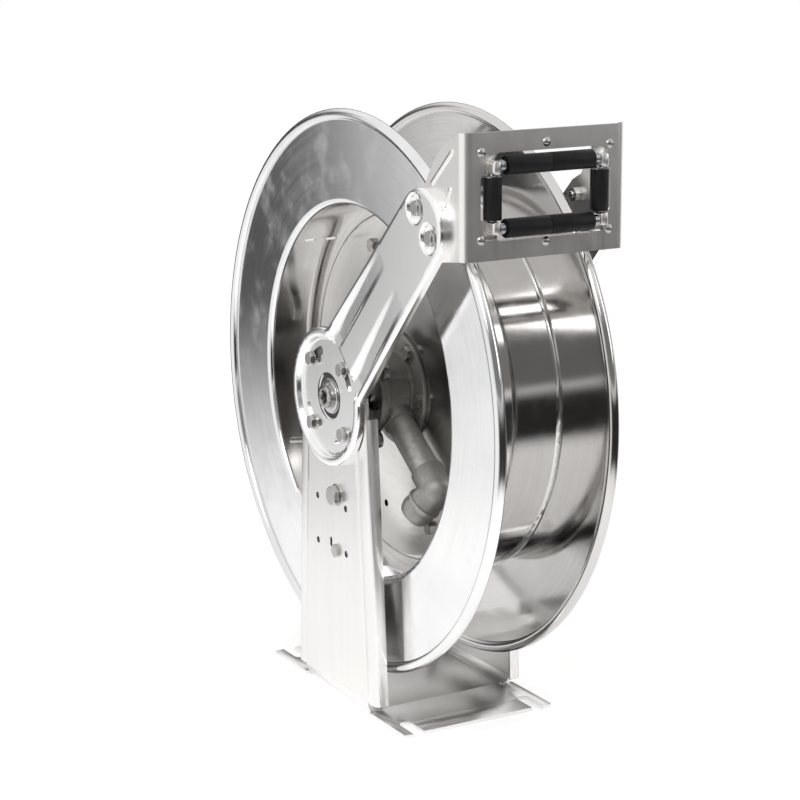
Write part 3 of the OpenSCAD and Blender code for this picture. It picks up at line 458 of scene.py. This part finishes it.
LAMP_AIM = (0, 0, 0.3)
LAMPS = {"key_softbox": ((-1.6, -1.2, 1.9), (1.4, 1.0), 16.0),
         "fill_softbox": ((1.5, -1.4, 1.2), (1.0, 1.0), 6.0)}


def area_lamp(name, at, size, watts):
    """Soft light from a rectangle that faces the reel."""
    data = bpy.data.lights.new(name, "AREA")
    data.shape = "RECTANGLE"
    data.size, data.size_y = size
    data.energy = watts
    lamp = bpy.data.objects.new(name, data)
    bpy.context.scene.collection.objects.link(lamp)
    direction = (Vector(LAMP_AIM) - Vector(at)).normalized()
    turn = direction.to_track_quat("-Z", "Y").to_matrix().to_4x4()
    lamp.matrix_world = Matrix.Translation(at) @ turn


def make_floor():
    """White floor that takes the reel's shadow and fades out before its edge."""
    mesh = bpy.data.meshes.new("floor")
    work = bmesh.new()
    bmesh.ops.create_grid(work, x_segments=1, y_segments=1, size=FLOOR_HALF)
    work.to_mesh(mesh)
    work.free()
    floor = bpy.data.objects.new("floor", mesh)
    floor.location.z = -FLOOR_DROP
    bpy.context.scene.collection.objects.link(floor)
    material = bpy.data.materials.new("floor_white")
    material.use_nodes = True
    board = Board(material.node_tree)
    shader = material.node_tree.nodes["Principled BSDF"]
    shader.inputs["Base Color"].default_value = (0.95, 0.95, 0.95, 1)
    shader.inputs["Roughness"].default_value = 0.8
    shader.inputs["Specular IOR Level"].default_value = 0.0
    x, y = board.split(board.node("ShaderNodeTexCoord").outputs["Object"])[:2]
    reach = board.length(x, y)
    rays = board.node("ShaderNodeLightPath").outputs
    seen = board.math("MAXIMUM", rays["Is Camera Ray"], rays["Is Glossy Ray"])
    shader.inputs["Emission Color"].default_value = WHITE
    board.feed(shader.inputs["Emission Strength"], board.math("MULTIPLY", seen, FLOOR_GLOW))
    far = board.math("MULTIPLY", board.span(reach, *FLOOR_MIRRORED), rays["Is Glossy Ray"])
    far = board.math("MAXIMUM", far, board.span(reach, *FLOOR_SEEN))
    clear = board.node("ShaderNodeBsdfTransparent")
    both = board.node("ShaderNodeMixShader")
    board.feed(both.inputs[0], far)
    board.feed(both.inputs[1], shader.outputs[0])
    board.feed(both.inputs[2], clear.outputs[0])
    board.feed(material.node_tree.nodes["Material Output"].inputs["Surface"], both.outputs[0])
    floor.data.materials.append(material)


# ---------- shapes ----------

WELD_REACH = 0.00002
SOFT_ANGLE = 32.0          # edges that bend more are rounded on a CAD piece
SOFT_STEPS = 2
CRISP_ANGLE = 50.0         # a pressed sheet's cut edges stay crisp above this bend
# Bends, in degrees, above which a piece is shaded with a sharp edge.
SHEET_SHARP, BOLT_SHARP, RIDGE_SHARP, RING_SHARP = 60.0, 17.0, 80.0, 30.0
EDGE_ROWS = (0.06, 0.25, 0.55, 1.0)   # rows of points over a rounded edge, as shares of its radius
EDGE_MARGIN = 0.6          # the grid's distance from an outline and from a hole, as shares of its gap
HOLE_MARGIN = 0.5
CUT_CLEARANCE = 0.3        # least distance of a row's point from a hole's edge
ON_EDGE = 0.02             # points nearer to the outline than this lie on it
SAME_POINT = 1e-4


def mesh_from(work, name):
    """Turns the working mesh into a kept one."""
    mesh = bpy.data.meshes.new(name)
    work.to_mesh(mesh)
    work.free()
    return mesh


def in_metres(work):
    """Turns a working mesh from millimetres into metres."""
    for vert in work.verts:
        vert.co = vert.co * MM


def finish_mesh(name, body, slot, mesh, sharp, nodes=(), finish=None):
    """Makes the piece from its mesh, with its finish and what it rides on."""
    mesh.validate()
    mesh.polygons.foreach_set("use_smooth", [True] * len(mesh.polygons))
    mesh.set_sharp_from_angle(angle=math.radians(sharp))
    mesh.materials.append(MATERIALS[finish or slot])
    piece = bpy.data.objects.new(name, mesh)
    bpy.context.scene.collection.objects.link(piece)
    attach(piece, body)
    if nodes:
        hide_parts(*nodes)
    return piece


def arc(centre, radius, start, stop, steps):
    """Points of an arc in degrees, both ends included."""
    turns = [math.radians(start + (stop - start) * i / steps) for i in range(steps + 1)]
    return [(centre[0] + radius * math.cos(t), centre[1] + radius * math.sin(t)) for t in turns]


def turned(profile, steps=288):
    """Ring about the shaft's axis from a closed section of (radius, x)."""
    section = np.array(profile, float)
    angles = np.linspace(0, 2 * math.pi, steps, endpoint=False)
    count = len(section)
    rows = np.empty((steps, count, 3))
    rows[:, :, 0] = section[:, 1][None, :]
    rows[:, :, 1] = np.cos(angles)[:, None] * section[:, 0][None, :]
    rows[:, :, 2] = AXIS_Z + np.sin(angles)[:, None] * section[:, 0][None, :]
    faces = []
    for i in range(steps):
        j = (i + 1) % steps
        for k in range(count):
            m = (k + 1) % count
            faces.append((i * count + k, i * count + m, j * count + m, j * count + k))
    mesh = bpy.data.meshes.new("turned")
    mesh.from_pydata((rows.reshape(-1, 3) * MM).tolist(), [], faces)
    work = bmesh.new()
    work.from_mesh(mesh)
    bmesh.ops.recalc_face_normals(work, faces=work.faces)
    work.to_mesh(mesh)
    work.free()
    return mesh


def soften(node, width):
    """Rounds the edges of a CAD piece that stays."""
    weld = node.modifiers.new("weld", "WELD")
    weld.merge_threshold = WELD_REACH
    bevel = node.modifiers.new("edges", "BEVEL")
    bevel.width = width * MM
    bevel.segments = SOFT_STEPS
    bevel.limit_method = "ANGLE"
    bevel.angle_limit = math.radians(SOFT_ANGLE)
    bevel.harden_normals = True
    bevel.use_clamp_overlap = True
    node.data.polygons.foreach_set("use_smooth", [True] * len(node.data.polygons))


def spaced(loop, gap):
    """Closed loop of points set evenly about one gap apart."""
    points = np.array(list(loop) + [loop[0]], float)
    run = np.concatenate(([0], np.cumsum(np.hypot(*np.diff(points, axis=0).T))))
    count = max(12, int(round(run[-1] / gap)))
    at = np.linspace(0, run[-1], count, endpoint=False)
    return np.column_stack([np.interp(at, run, points[:, k]) for k in (0, 1)])


def rounded(loop, reach, gap=1.0):
    """Closed loop with its corners eased over the given reach."""
    even = spaced(loop, gap)
    half = max(1, int(reach / gap / 2))
    return sum(np.roll(even, k, axis=0) for k in range(-half, half + 1)) / (2 * half + 1)


def inset(loop, distance):
    """Loop moved inwards along its own normals; it runs counter-clockwise."""
    ahead = np.roll(loop, -1, axis=0) - np.roll(loop, 1, axis=0)
    ahead /= np.hypot(*ahead.T)[:, None]
    return loop + distance * np.column_stack([-ahead[:, 1], ahead[:, 0]])


def inside(points, loop):
    """Which points lie within a closed loop."""
    result = np.zeros(len(points), bool)
    x, y = points[:, 0], points[:, 1]
    for (x0, y0), (x1, y1) in zip(loop, np.roll(loop, -1, axis=0)):
        if y0 != y1:
            result ^= ((y0 > y) != (y1 > y)) & (x < (x1 - x0) * (y - y0) / (y1 - y0) + x0)
    return result


def depth_in(points, loop):
    """Distance from each point to the nearest point of a closed loop, positive within it."""
    tree = kdtree.KDTree(len(loop))
    for k, (x, y) in enumerate(loop):
        tree.insert((x, y, 0), k)
    tree.balance()
    least = np.array([tree.find((x, y, 0))[2] for x, y in points])
    return np.where(inside(points, loop), least, -least)


def ease(value):
    """Soft step from 0 to 1."""
    value = np.clip(value, 0, 1)
    return value * value * (3 - 2 * value)


def circle(centre, radius, steps):
    """Closed loop of points, the first not repeated."""
    turn = np.linspace(0, 2 * math.pi, steps, endpoint=False)
    return np.column_stack([centre[0] + radius * np.cos(turn), centre[1] + radius * np.sin(turn)])


def pressed(outline, holes, lines, depth, gap, corner, skirt):
    """Pressed sheet: a flat outline with holes, its depth from a function, its edge turned down.

    The lines are extra rows of points where the sheet bends. A skirt no deeper than the corner
    adds no edge.
    """
    loops = [outline] + [np.array(h) for h in holes]
    points, edges = [], []
    for loop in loops:
        start = len(points)
        points += [tuple(p) for p in loop]
        edges += [(start + k, start + (k + 1) % len(loop)) for k in range(len(loop))]
    rim = [inset(outline, corner * share) for share in EDGE_ROWS]
    spare = np.concatenate(rim + [np.array(l) for l in lines])
    low, high = outline.min(0), outline.max(0)
    columns, rows = (np.arange(low[k], high[k], gap) for k in (0, 1))
    grid = np.stack(np.meshgrid(columns, rows), -1).reshape(-1, 2)
    keep = depth_in(grid, outline) > corner + EDGE_MARGIN * gap
    for hole in loops[1:]:
        keep &= depth_in(grid, hole) < -HOLE_MARGIN * gap
    grid = grid[keep]
    good = inside(spare, outline)
    for hole in loops[1:]:
        good &= depth_in(spare, hole) < -CUT_CLEARANCE
    for extra in (spare[good], grid):
        points += [tuple(p) for p in extra]
    flat = geometry.delaunay_2d_cdt([Vector(p) for p in points], edges, [], 0, SAME_POINT)
    verts = np.array([tuple(v) for v in flat[0]])
    faces = np.array([f for f in flat[2] if len(f) == 3])
    middle = verts[faces].mean(1)
    keep = inside(middle, outline)
    for hole in loops[1:]:
        keep &= ~inside(middle, hole)
    faces = faces[keep]
    below = depth(verts)
    reach = np.abs(depth_in(verts, outline))
    edge = np.clip(corner - reach, 0, corner)
    below = below + corner - np.sqrt(corner ** 2 - edge ** 2)
    work = bmesh.new()
    made = [work.verts.new((v[0], v[1], d)) for v, d in zip(verts, below)]
    for face in faces:
        work.faces.new([made[k] for k in face])
    bmesh.ops.recalc_face_normals(work, faces=work.faces)
    if skirt > corner:
        rim_verts = {vert for vert, d in zip(made, reach) if d < ON_EDGE}
        outer = [e for e in work.edges if e.is_boundary and rim_verts.issuperset(e.verts)]
        grown = bmesh.ops.extrude_edge_only(work, edges=outer)["geom"]
        for vert in grown:
            if isinstance(vert, bmesh.types.BMVert):
                vert.co.z = skirt
    for vert in [v for v in work.verts if not v.link_faces]:
        work.verts.remove(vert)
    return work


def sheet_piece(name, body, slot, work, place, thickness, nodes, outwards, finish=None):
    """Places a pressed sheet and gives it its thickness away from the outside."""
    for vert in work.verts:
        vert.co = Vector(place(*vert.co)) * MM
    bmesh.ops.recalc_face_normals(work, faces=work.faces)
    work.normal_update()
    lean = sum((face.normal * face.calc_area() for face in work.faces), Vector())
    if lean.dot(Vector(outwards)) < 0:
        bmesh.ops.reverse_faces(work, faces=work.faces)
    mesh = mesh_from(work, name)
    piece = finish_mesh(name, body, slot, mesh, SHEET_SHARP, nodes, finish)
    if thickness:
        solid = piece.modifiers.new("thickness", "SOLIDIFY")
        solid.thickness = thickness * MM
        solid.offset = -1.0
        split = piece.modifiers.new("crisp", "EDGE_SPLIT")
        split.split_angle = math.radians(CRISP_ANGLE)
    return piece


# ---------- guide arms ----------

WALL_LAP = 0.5             # a recess's wall starts this far outside its stated edge
HUB_WALL = 5.0             # widths of the sloping walls
STRIP_WALL = 4.5
POCKET_WALL = 4.0
HUB_WALL_ROWS = (0, 0.8, 1.7, 2.5, 3.3, 4.2, 5)
POCKET_WALL_ROWS = (0, 1, 2, 3, 4)
STRIP_END = 212            # the strips run out to nothing here, over this run and curve
STRIP_RUN = 142
STRIP_CURVE = 1.7
STRIP_STEP = 0.6
# Corners of the three pressed strips, along an arm and across it.
STRIPS = (((50, -42), (208, -36), (208, -15), (70, -17), (50, -17)),
          ((50, 17), (70, 17), (208, 11), (208, 36), (50, 42)),
          ((50, -20), (66, -20), (66, 20), (50, 20)))


def on_arm(along, across):
    """Y and Z of a spot on an arm, from its place along the arm and across it."""
    c, s = math.cos(math.radians(180 - ARM_TILT)), math.sin(math.radians(180 - ARM_TILT))
    return c * along - s * across, AXIS_Z + s * along + c * across


def arm_outline():
    """Hub and far end joined by straight sides; the sides leave the hub where the circle meets them."""
    taper = (ARM_END_R - ARM_ROOT_HALF) / ARM_LEN
    a = 1 + taper * taper
    b = 2 * ARM_ROOT_HALF * taper
    c = ARM_ROOT_HALF ** 2 - ARM_HUB_R ** 2
    meet = (-b + math.sqrt(b * b - 4 * a * c)) / (2 * a)
    turn = math.degrees(math.atan2(ARM_ROOT_HALF + taper * meet, meet))
    far_end = arc((ARM_LEN, 0), ARM_END_R, -90, 90, 90)
    return rounded(far_end + arc((0, 0), ARM_HUB_R, turn, 360 - turn, 220), ARM_WAIST_EASE)


def around(radius, turn):
    """Point on a circle about the shaft, its turn in degrees."""
    return radius * np.array((math.cos(math.radians(turn)), math.sin(math.radians(turn))))


def arm_slot(turn):
    """Curved slot with round ends for one of the hub's bolts."""
    caps = range(20, 180, 20)
    loop = (arc((0, 0), BOLT_CIRCLE_R + SLOT_HALF, 0, SLOT_SWEEP, 10)
            + [around(BOLT_CIRCLE_R, SLOT_SWEEP) + around(SLOT_HALF, SLOT_SWEEP + k) for k in caps]
            + arc((0, 0), BOLT_CIRCLE_R - SLOT_HALF, SLOT_SWEEP, 0, 8)
            + [around(BOLT_CIRCLE_R, 0) + around(SLOT_HALF, 180 + k) for k in caps])
    c, s = math.cos(math.radians(turn)), math.sin(math.radians(turn))
    return np.array([(c * x - s * y, s * x + c * y) for x, y in loop])


def arm_depth_at(points):
    """How deep an arm is pressed at each point: hub, tapering strips and bolt pockets."""
    hub_edge, pocket_edge = HUB_RECESS_R + WALL_LAP, POCKET_R + WALL_LAP
    sunk = PRESS_DEPTH * ease((hub_edge - np.hypot(*points.T)) / HUB_WALL)
    slope = PRESS_DEPTH * np.clip((STRIP_END - points[:, 0]) / STRIP_RUN, 0, 1) ** STRIP_CURVE
    for strip in STRIPS:
        loop = spaced(strip, STRIP_STEP)
        sunk = np.maximum(sunk, slope * ease((depth_in(points, loop) + WALL_LAP) / STRIP_WALL))
    for centre in POCKETS:
        wall = (pocket_edge - np.hypot(*(points - centre).T)) / POCKET_WALL
        sunk = np.maximum(sunk, PRESS_DEPTH * ease(wall))
    return sunk


def make_arm(name, side):
    """Pressed arm of the guide, from its hub to the outlet."""
    outline = arm_outline()
    holes = [circle((0, 0), ARM_BORE_R, 90)] + [arm_slot(90 * k) for k in range(4)]
    lines = [circle((0, 0), HUB_RECESS_R + WALL_LAP - k, 300) for k in HUB_WALL_ROWS]
    lines += [circle(c, POCKET_R + WALL_LAP - k, 70) for c in POCKETS for k in POCKET_WALL_ROWS]
    work = pressed(outline, holes, lines, arm_depth_at, ARM_GRID, ARM_CORNER, ARM_DEPTH)
    replaced = ("arm_near" if side < 0 else "arm_far",)
    return sheet_piece(name, "guide", "stainless_sheet", work,
                       lambda a, b, d: (side * (ARM_LEVEL - d), *on_arm(a, b)),
                       ARM_SHEET, replaced, (side, 0, 0))


# ---------- pressings on the uprights and the outlet's ears ----------

PRESSING_MARGIN = 19.0     # from the upright's edge to the raised middle
PRESSING_LOW = 16.0
PRESSING_HIGH = AXIS_Z + 20
PRESSING_CORNER = 22.0
PRESSING_RISE = 1.8
PRESSING_WALL = 2.4        # width of the slope from the edge to the raised middle
PRESSING_ROWS = (0.9, 1.8, 2.7)
PRESSING_STEP = 2.0        # distance between the points of the outline, and of the face
PRESSING_GRID = 4.0
PRESSING_EDGE = 0.05       # next to no rounding, because the skin ends on the upright's face
SKIN_GAP = 0.05            # keeps the skin just outside that face
HOLE_R = 3.6               # the upright's four small holes, and the short slot among them
HOLE_MIDDLE = (2, AXIS_Z - 141.5)
HOLE_SPREAD = (32, 25)
SLOT_R = 2.3
SLOT_Y = 4
SLOT_ENDS = (AXIS_Z - 158, AXIS_Z - 164)


def half_at(z):
    """Half width of an upright at a height."""
    return FOOT_HALF + (TOP_HALF - FOOT_HALF) * z / AXIS_Z


def make_upright_pressing(side):
    """The raised middle of an upright, a thin skin with the upright's holes left open."""
    foot, top = half_at(PRESSING_LOW), half_at(PRESSING_HIGH)
    loop = [(-foot + PRESSING_MARGIN, PRESSING_LOW), (foot - PRESSING_MARGIN, PRESSING_LOW),
            (top - PRESSING_MARGIN, PRESSING_HIGH), (-top + PRESSING_MARGIN, PRESSING_HIGH)]
    middle, spread = HOLE_MIDDLE, HOLE_SPREAD
    holes = [circle((middle[0] + spread[0] * s, middle[1] + spread[1] * e), HOLE_R, 24)
             for s in (-1, 1) for e in (-1, 1)]
    slot = (arc((SLOT_Y, SLOT_ENDS[0]), SLOT_R, 0, 180, 10)
            + arc((SLOT_Y, SLOT_ENDS[1]), SLOT_R, 180, 360, 10))
    outline = rounded(loop, PRESSING_CORNER, PRESSING_STEP)
    work = pressed(outline, holes + [np.array(slot)], [inset(outline, k) for k in PRESSING_ROWS],
                   lambda p: -PRESSING_RISE * ease(depth_in(p, outline) / PRESSING_WALL),
                   PRESSING_GRID, PRESSING_EDGE, 0.0)
    name = "upright_pressing_near" if side < 0 else "upright_pressing_far"
    return sheet_piece(name, "frame", "stainless_sheet", work,
                       lambda a, b, d: (side * (UPRIGHT_X - d - SKIN_GAP), a, b),
                       0, (), (side, 0, 0), "frame_sheet")


BOLT_STEPS = 60


def add_bolt(work, place, seat, end, size, out):
    """Hexagon head with a chamfered crown, and its shank, along X; out is the way the head points."""
    tall, across, shank_r = size
    steps = BOLT_STEPS
    y, z = place
    flat = across / 2
    rings = []
    for level in ("seat", "side", "crown", "neck", "tip", "end"):
        ring = []
        for k in range(steps):
            turn = 2 * math.pi * k / steps
            hexagon = flat / math.cos((turn + math.pi / 6) % (math.pi / 3) - math.pi / 6)
            drop = max(0.0, hexagon - CROWN_SHARE * flat) * CROWN_SLOPE
            x, r = {"seat": (seat, hexagon),
                    "side": (seat + out * (tall - drop), hexagon),
                    "crown": (seat + out * tall, CROWN_SHARE * flat),
                    "neck": (seat, shank_r),
                    "tip": (end + out * SHANK_TIP, shank_r),
                    "end": (end, shank_r - SHANK_TIP)}[level]
            ring.append(work.verts.new((x, y + r * math.cos(turn), z + r * math.sin(turn))))
        rings.append(ring)
    for a, b in ((0, 1), (1, 2), (0, 3), (3, 4), (4, 5)):
        for k in range(steps):
            m = (k + 1) % steps
            work.faces.new((rings[a][k], rings[a][m], rings[b][m], rings[b][k]))
    work.faces.new(rings[2])
    work.faces.new(rings[5])


def make_bolts(name, body, node, places, seat, end, size, sides=(-1,)):
    """One piece of bolts in place of a CAD node; seat and end are distances out from the middle."""
    work = bmesh.new()
    for side in sides:
        for place in places:
            add_bolt(work, place, seat * side, end * side, size, side)
    in_metres(work)
    bmesh.ops.recalc_face_normals(work, faces=work.faces)
    mesh = mesh_from(work, name)
    return finish_mesh(name, body, "stainless_fasteners", mesh, BOLT_SHARP, (node,))


def round_places(radius, turns):
    """Y and Z of places on a circle about the shaft."""
    return [(radius * math.cos(math.radians(t)), AXIS_Z + radius * math.sin(math.radians(t)))
            for t in turns]


RIDGE_HALF = 3.2
RIDGE_HEIGHT = 1.3
RIDGE_STEPS = 24
RIDGE_TURN = 18            # degrees from row to row over a ridge
# Both ends of each ridge, in Y and Z from the middle of the arms' far end.
RIDGES = {"long": ((-10, 45), (-47, 78)), "short": ((-34, 27), (-43, 42))}


def make_ridge(name, ends, side):
    """Long rounded emboss on an ear of the outlet plate."""
    a, b = (Vector((END_Y + y, END_Z + z)) for y, z in ends)
    along = (b - a).normalized()
    across = Vector((-along.y, along.x))
    span = (b - a).length
    work = bmesh.new()
    rows = []
    for i in range(RIDGE_STEPS + 1):
        reach = i / RIDGE_STEPS * (span + 2 * RIDGE_HALF) - RIDGE_HALF
        off = max(0.0, -reach, reach - span)
        half = math.sqrt(max(0.0, RIDGE_HALF * RIDGE_HALF - off * off))
        middle = a + along * reach
        row = []
        for q in range(-90, 91, RIDGE_TURN):
            rise = side * RIDGE_HEIGHT * (half / RIDGE_HALF) * math.cos(math.radians(q)) ** 2
            spot = middle + across * half * math.sin(math.radians(q))
            row.append(work.verts.new((EAR_X * side + rise, *spot)))
        rows.append(row)
    for one, two in zip(rows, rows[1:]):
        for k in range(len(one) - 1):
            work.faces.new((one[k], one[k + 1], two[k + 1], two[k]))
    bmesh.ops.remove_doubles(work, verts=work.verts, dist=0.01)
    in_metres(work)
    bmesh.ops.recalc_face_normals(work, faces=work.faces)
    work.normal_update()
    if sum(f.normal.x for f in work.faces) * side < 0:
        bmesh.ops.reverse_faces(work, faces=work.faces)
    return finish_mesh(name, "guide", "brushed_sheet", mesh_from(work, name), RIDGE_SHARP)


# ---------- assembly ----------

MATERIALS = {name: metal(name, **values) for name, values in METALS.items()}
NODES = frame["nodes"]
# Nodes that show another metal than their slot's own.
FINISHES = {"barrel_near": "rolled_sheet", "barrel_far": "rolled_sheet", "flange_far": "rolled_sheet",
            "centre_band": "rolled_sheet", "frame": "frame_sheet", "roller_collars": "spring_steel"}
SLOTS = {part["node"]: part["material_slot"] for part in frame["record"]["subparts"]}
for name, node in NODES.items():
    node.data.materials.clear()
    node.data.materials.append(MATERIALS[FINISHES.get(name, SLOTS[name])])

place_camera()
world_light()
for name, values in LAMPS.items():
    area_lamp(name, *values)
make_floor()

# Width of the rounded edge on each CAD node that has sharp ones.
SOFT_EDGES = {
    "frame": 1.0, "roller_cage": 1.1, "elbow": 0.8, "swivel_body": 0.9, "hub": 0.6, "ratchet": 0.5,
    "pawl": 0.6, "shaft": 0.4, "shaft_collar": 0.5, "shaft_screw": 0.6, "shaft_nut": 0.4,
    "inlet_adapter": 0.8, "hub_nuts": 0.25, "top_nuts": 0.25, "web_nuts": 0.25,
    "hub_flange_nuts": 0.25, "post_nut": 0.25, "hub_washers": 0.25, "top_washers": 0.25,
    "latch_washer": 0.3, "roller_top_near": 0.6, "roller_top_far": 0.6, "roller_low_near": 0.6,
    "roller_low_far": 0.6, "roller_near": 0.6, "roller_far": 0.6}
for name, width in SOFT_EDGES.items():
    soften(NODES[name], width)

# Sections as (radius, x): a painted shadow, a thin dark ring on the upright round the shaft's collar
# where the arm's bore shows only shade, and the socket's dark floor.
COLLAR_SHADOW_RING = ((18.2, -90.1), (25.0, -90.1), (25.0, -91.2), (24.2, -91.8), (18.9, -91.8), (18.2, -91.2))
SOCKET_FLOOR = ((0.3, -95.4), (6.8, -95.4), (6.9, -97.6), (6.1, -97.6), (5.2, -96.1), (0.3, -96.0))
# painted shadow: a dark ring inside the arm's bore
finish_mesh("collar_shadow_ring", "frame", "seal_rubber", turned(COLLAR_SHADOW_RING), RING_SHARP)
finish_mesh("socket_floor", "frame", "black_screws", turned(SOCKET_FLOOR, 60), RING_SHARP)

BOTH = (-1, 1)
make_bolts("hub_hexagon_bolts", "frame", "hub_bolts",
           round_places(BOLT_CIRCLE_R, HUB_BOLT_TURNS), ARM_SEAT, 76.5, M8, BOTH)
make_bolts("arm_end_bolts", "guide", "top_bolts",
           [on_arm(*spot) for spot in POCKETS], ARM_SEAT, 79, M8, BOTH)
make_bolts("web_disc_bolts", "drum", "web_bolts",
           round_places(WEB_CIRCLE_R, WEB_BOLT_TURNS), 10, -4, M8)
make_bolts("hub_ring_bolts", "drum", "hub_flange_bolts",
           round_places(RING_CIRCLE_R, RING_BOLT_TURNS), 14, -2, M8)
make_bolts("latch_pivot_bolt", "frame", "latch_bolt", [LATCH_PIVOT], 92.5, 48, M12)
make_bolts("spring_post_bolt", "frame", "post_bolt", [SPRING_POST], 90, 64, M8)

for side, label in ((-1, "near"), (1, "far")):
    make_arm("guide_arm_" + label, side)
    make_upright_pressing(side)
    for length, ends in RIDGES.items():
        make_ridge("ear_ridge_" + length + "_" + label, ends, side)

bpy.context.scene.view_settings.view_transform = "Standard"
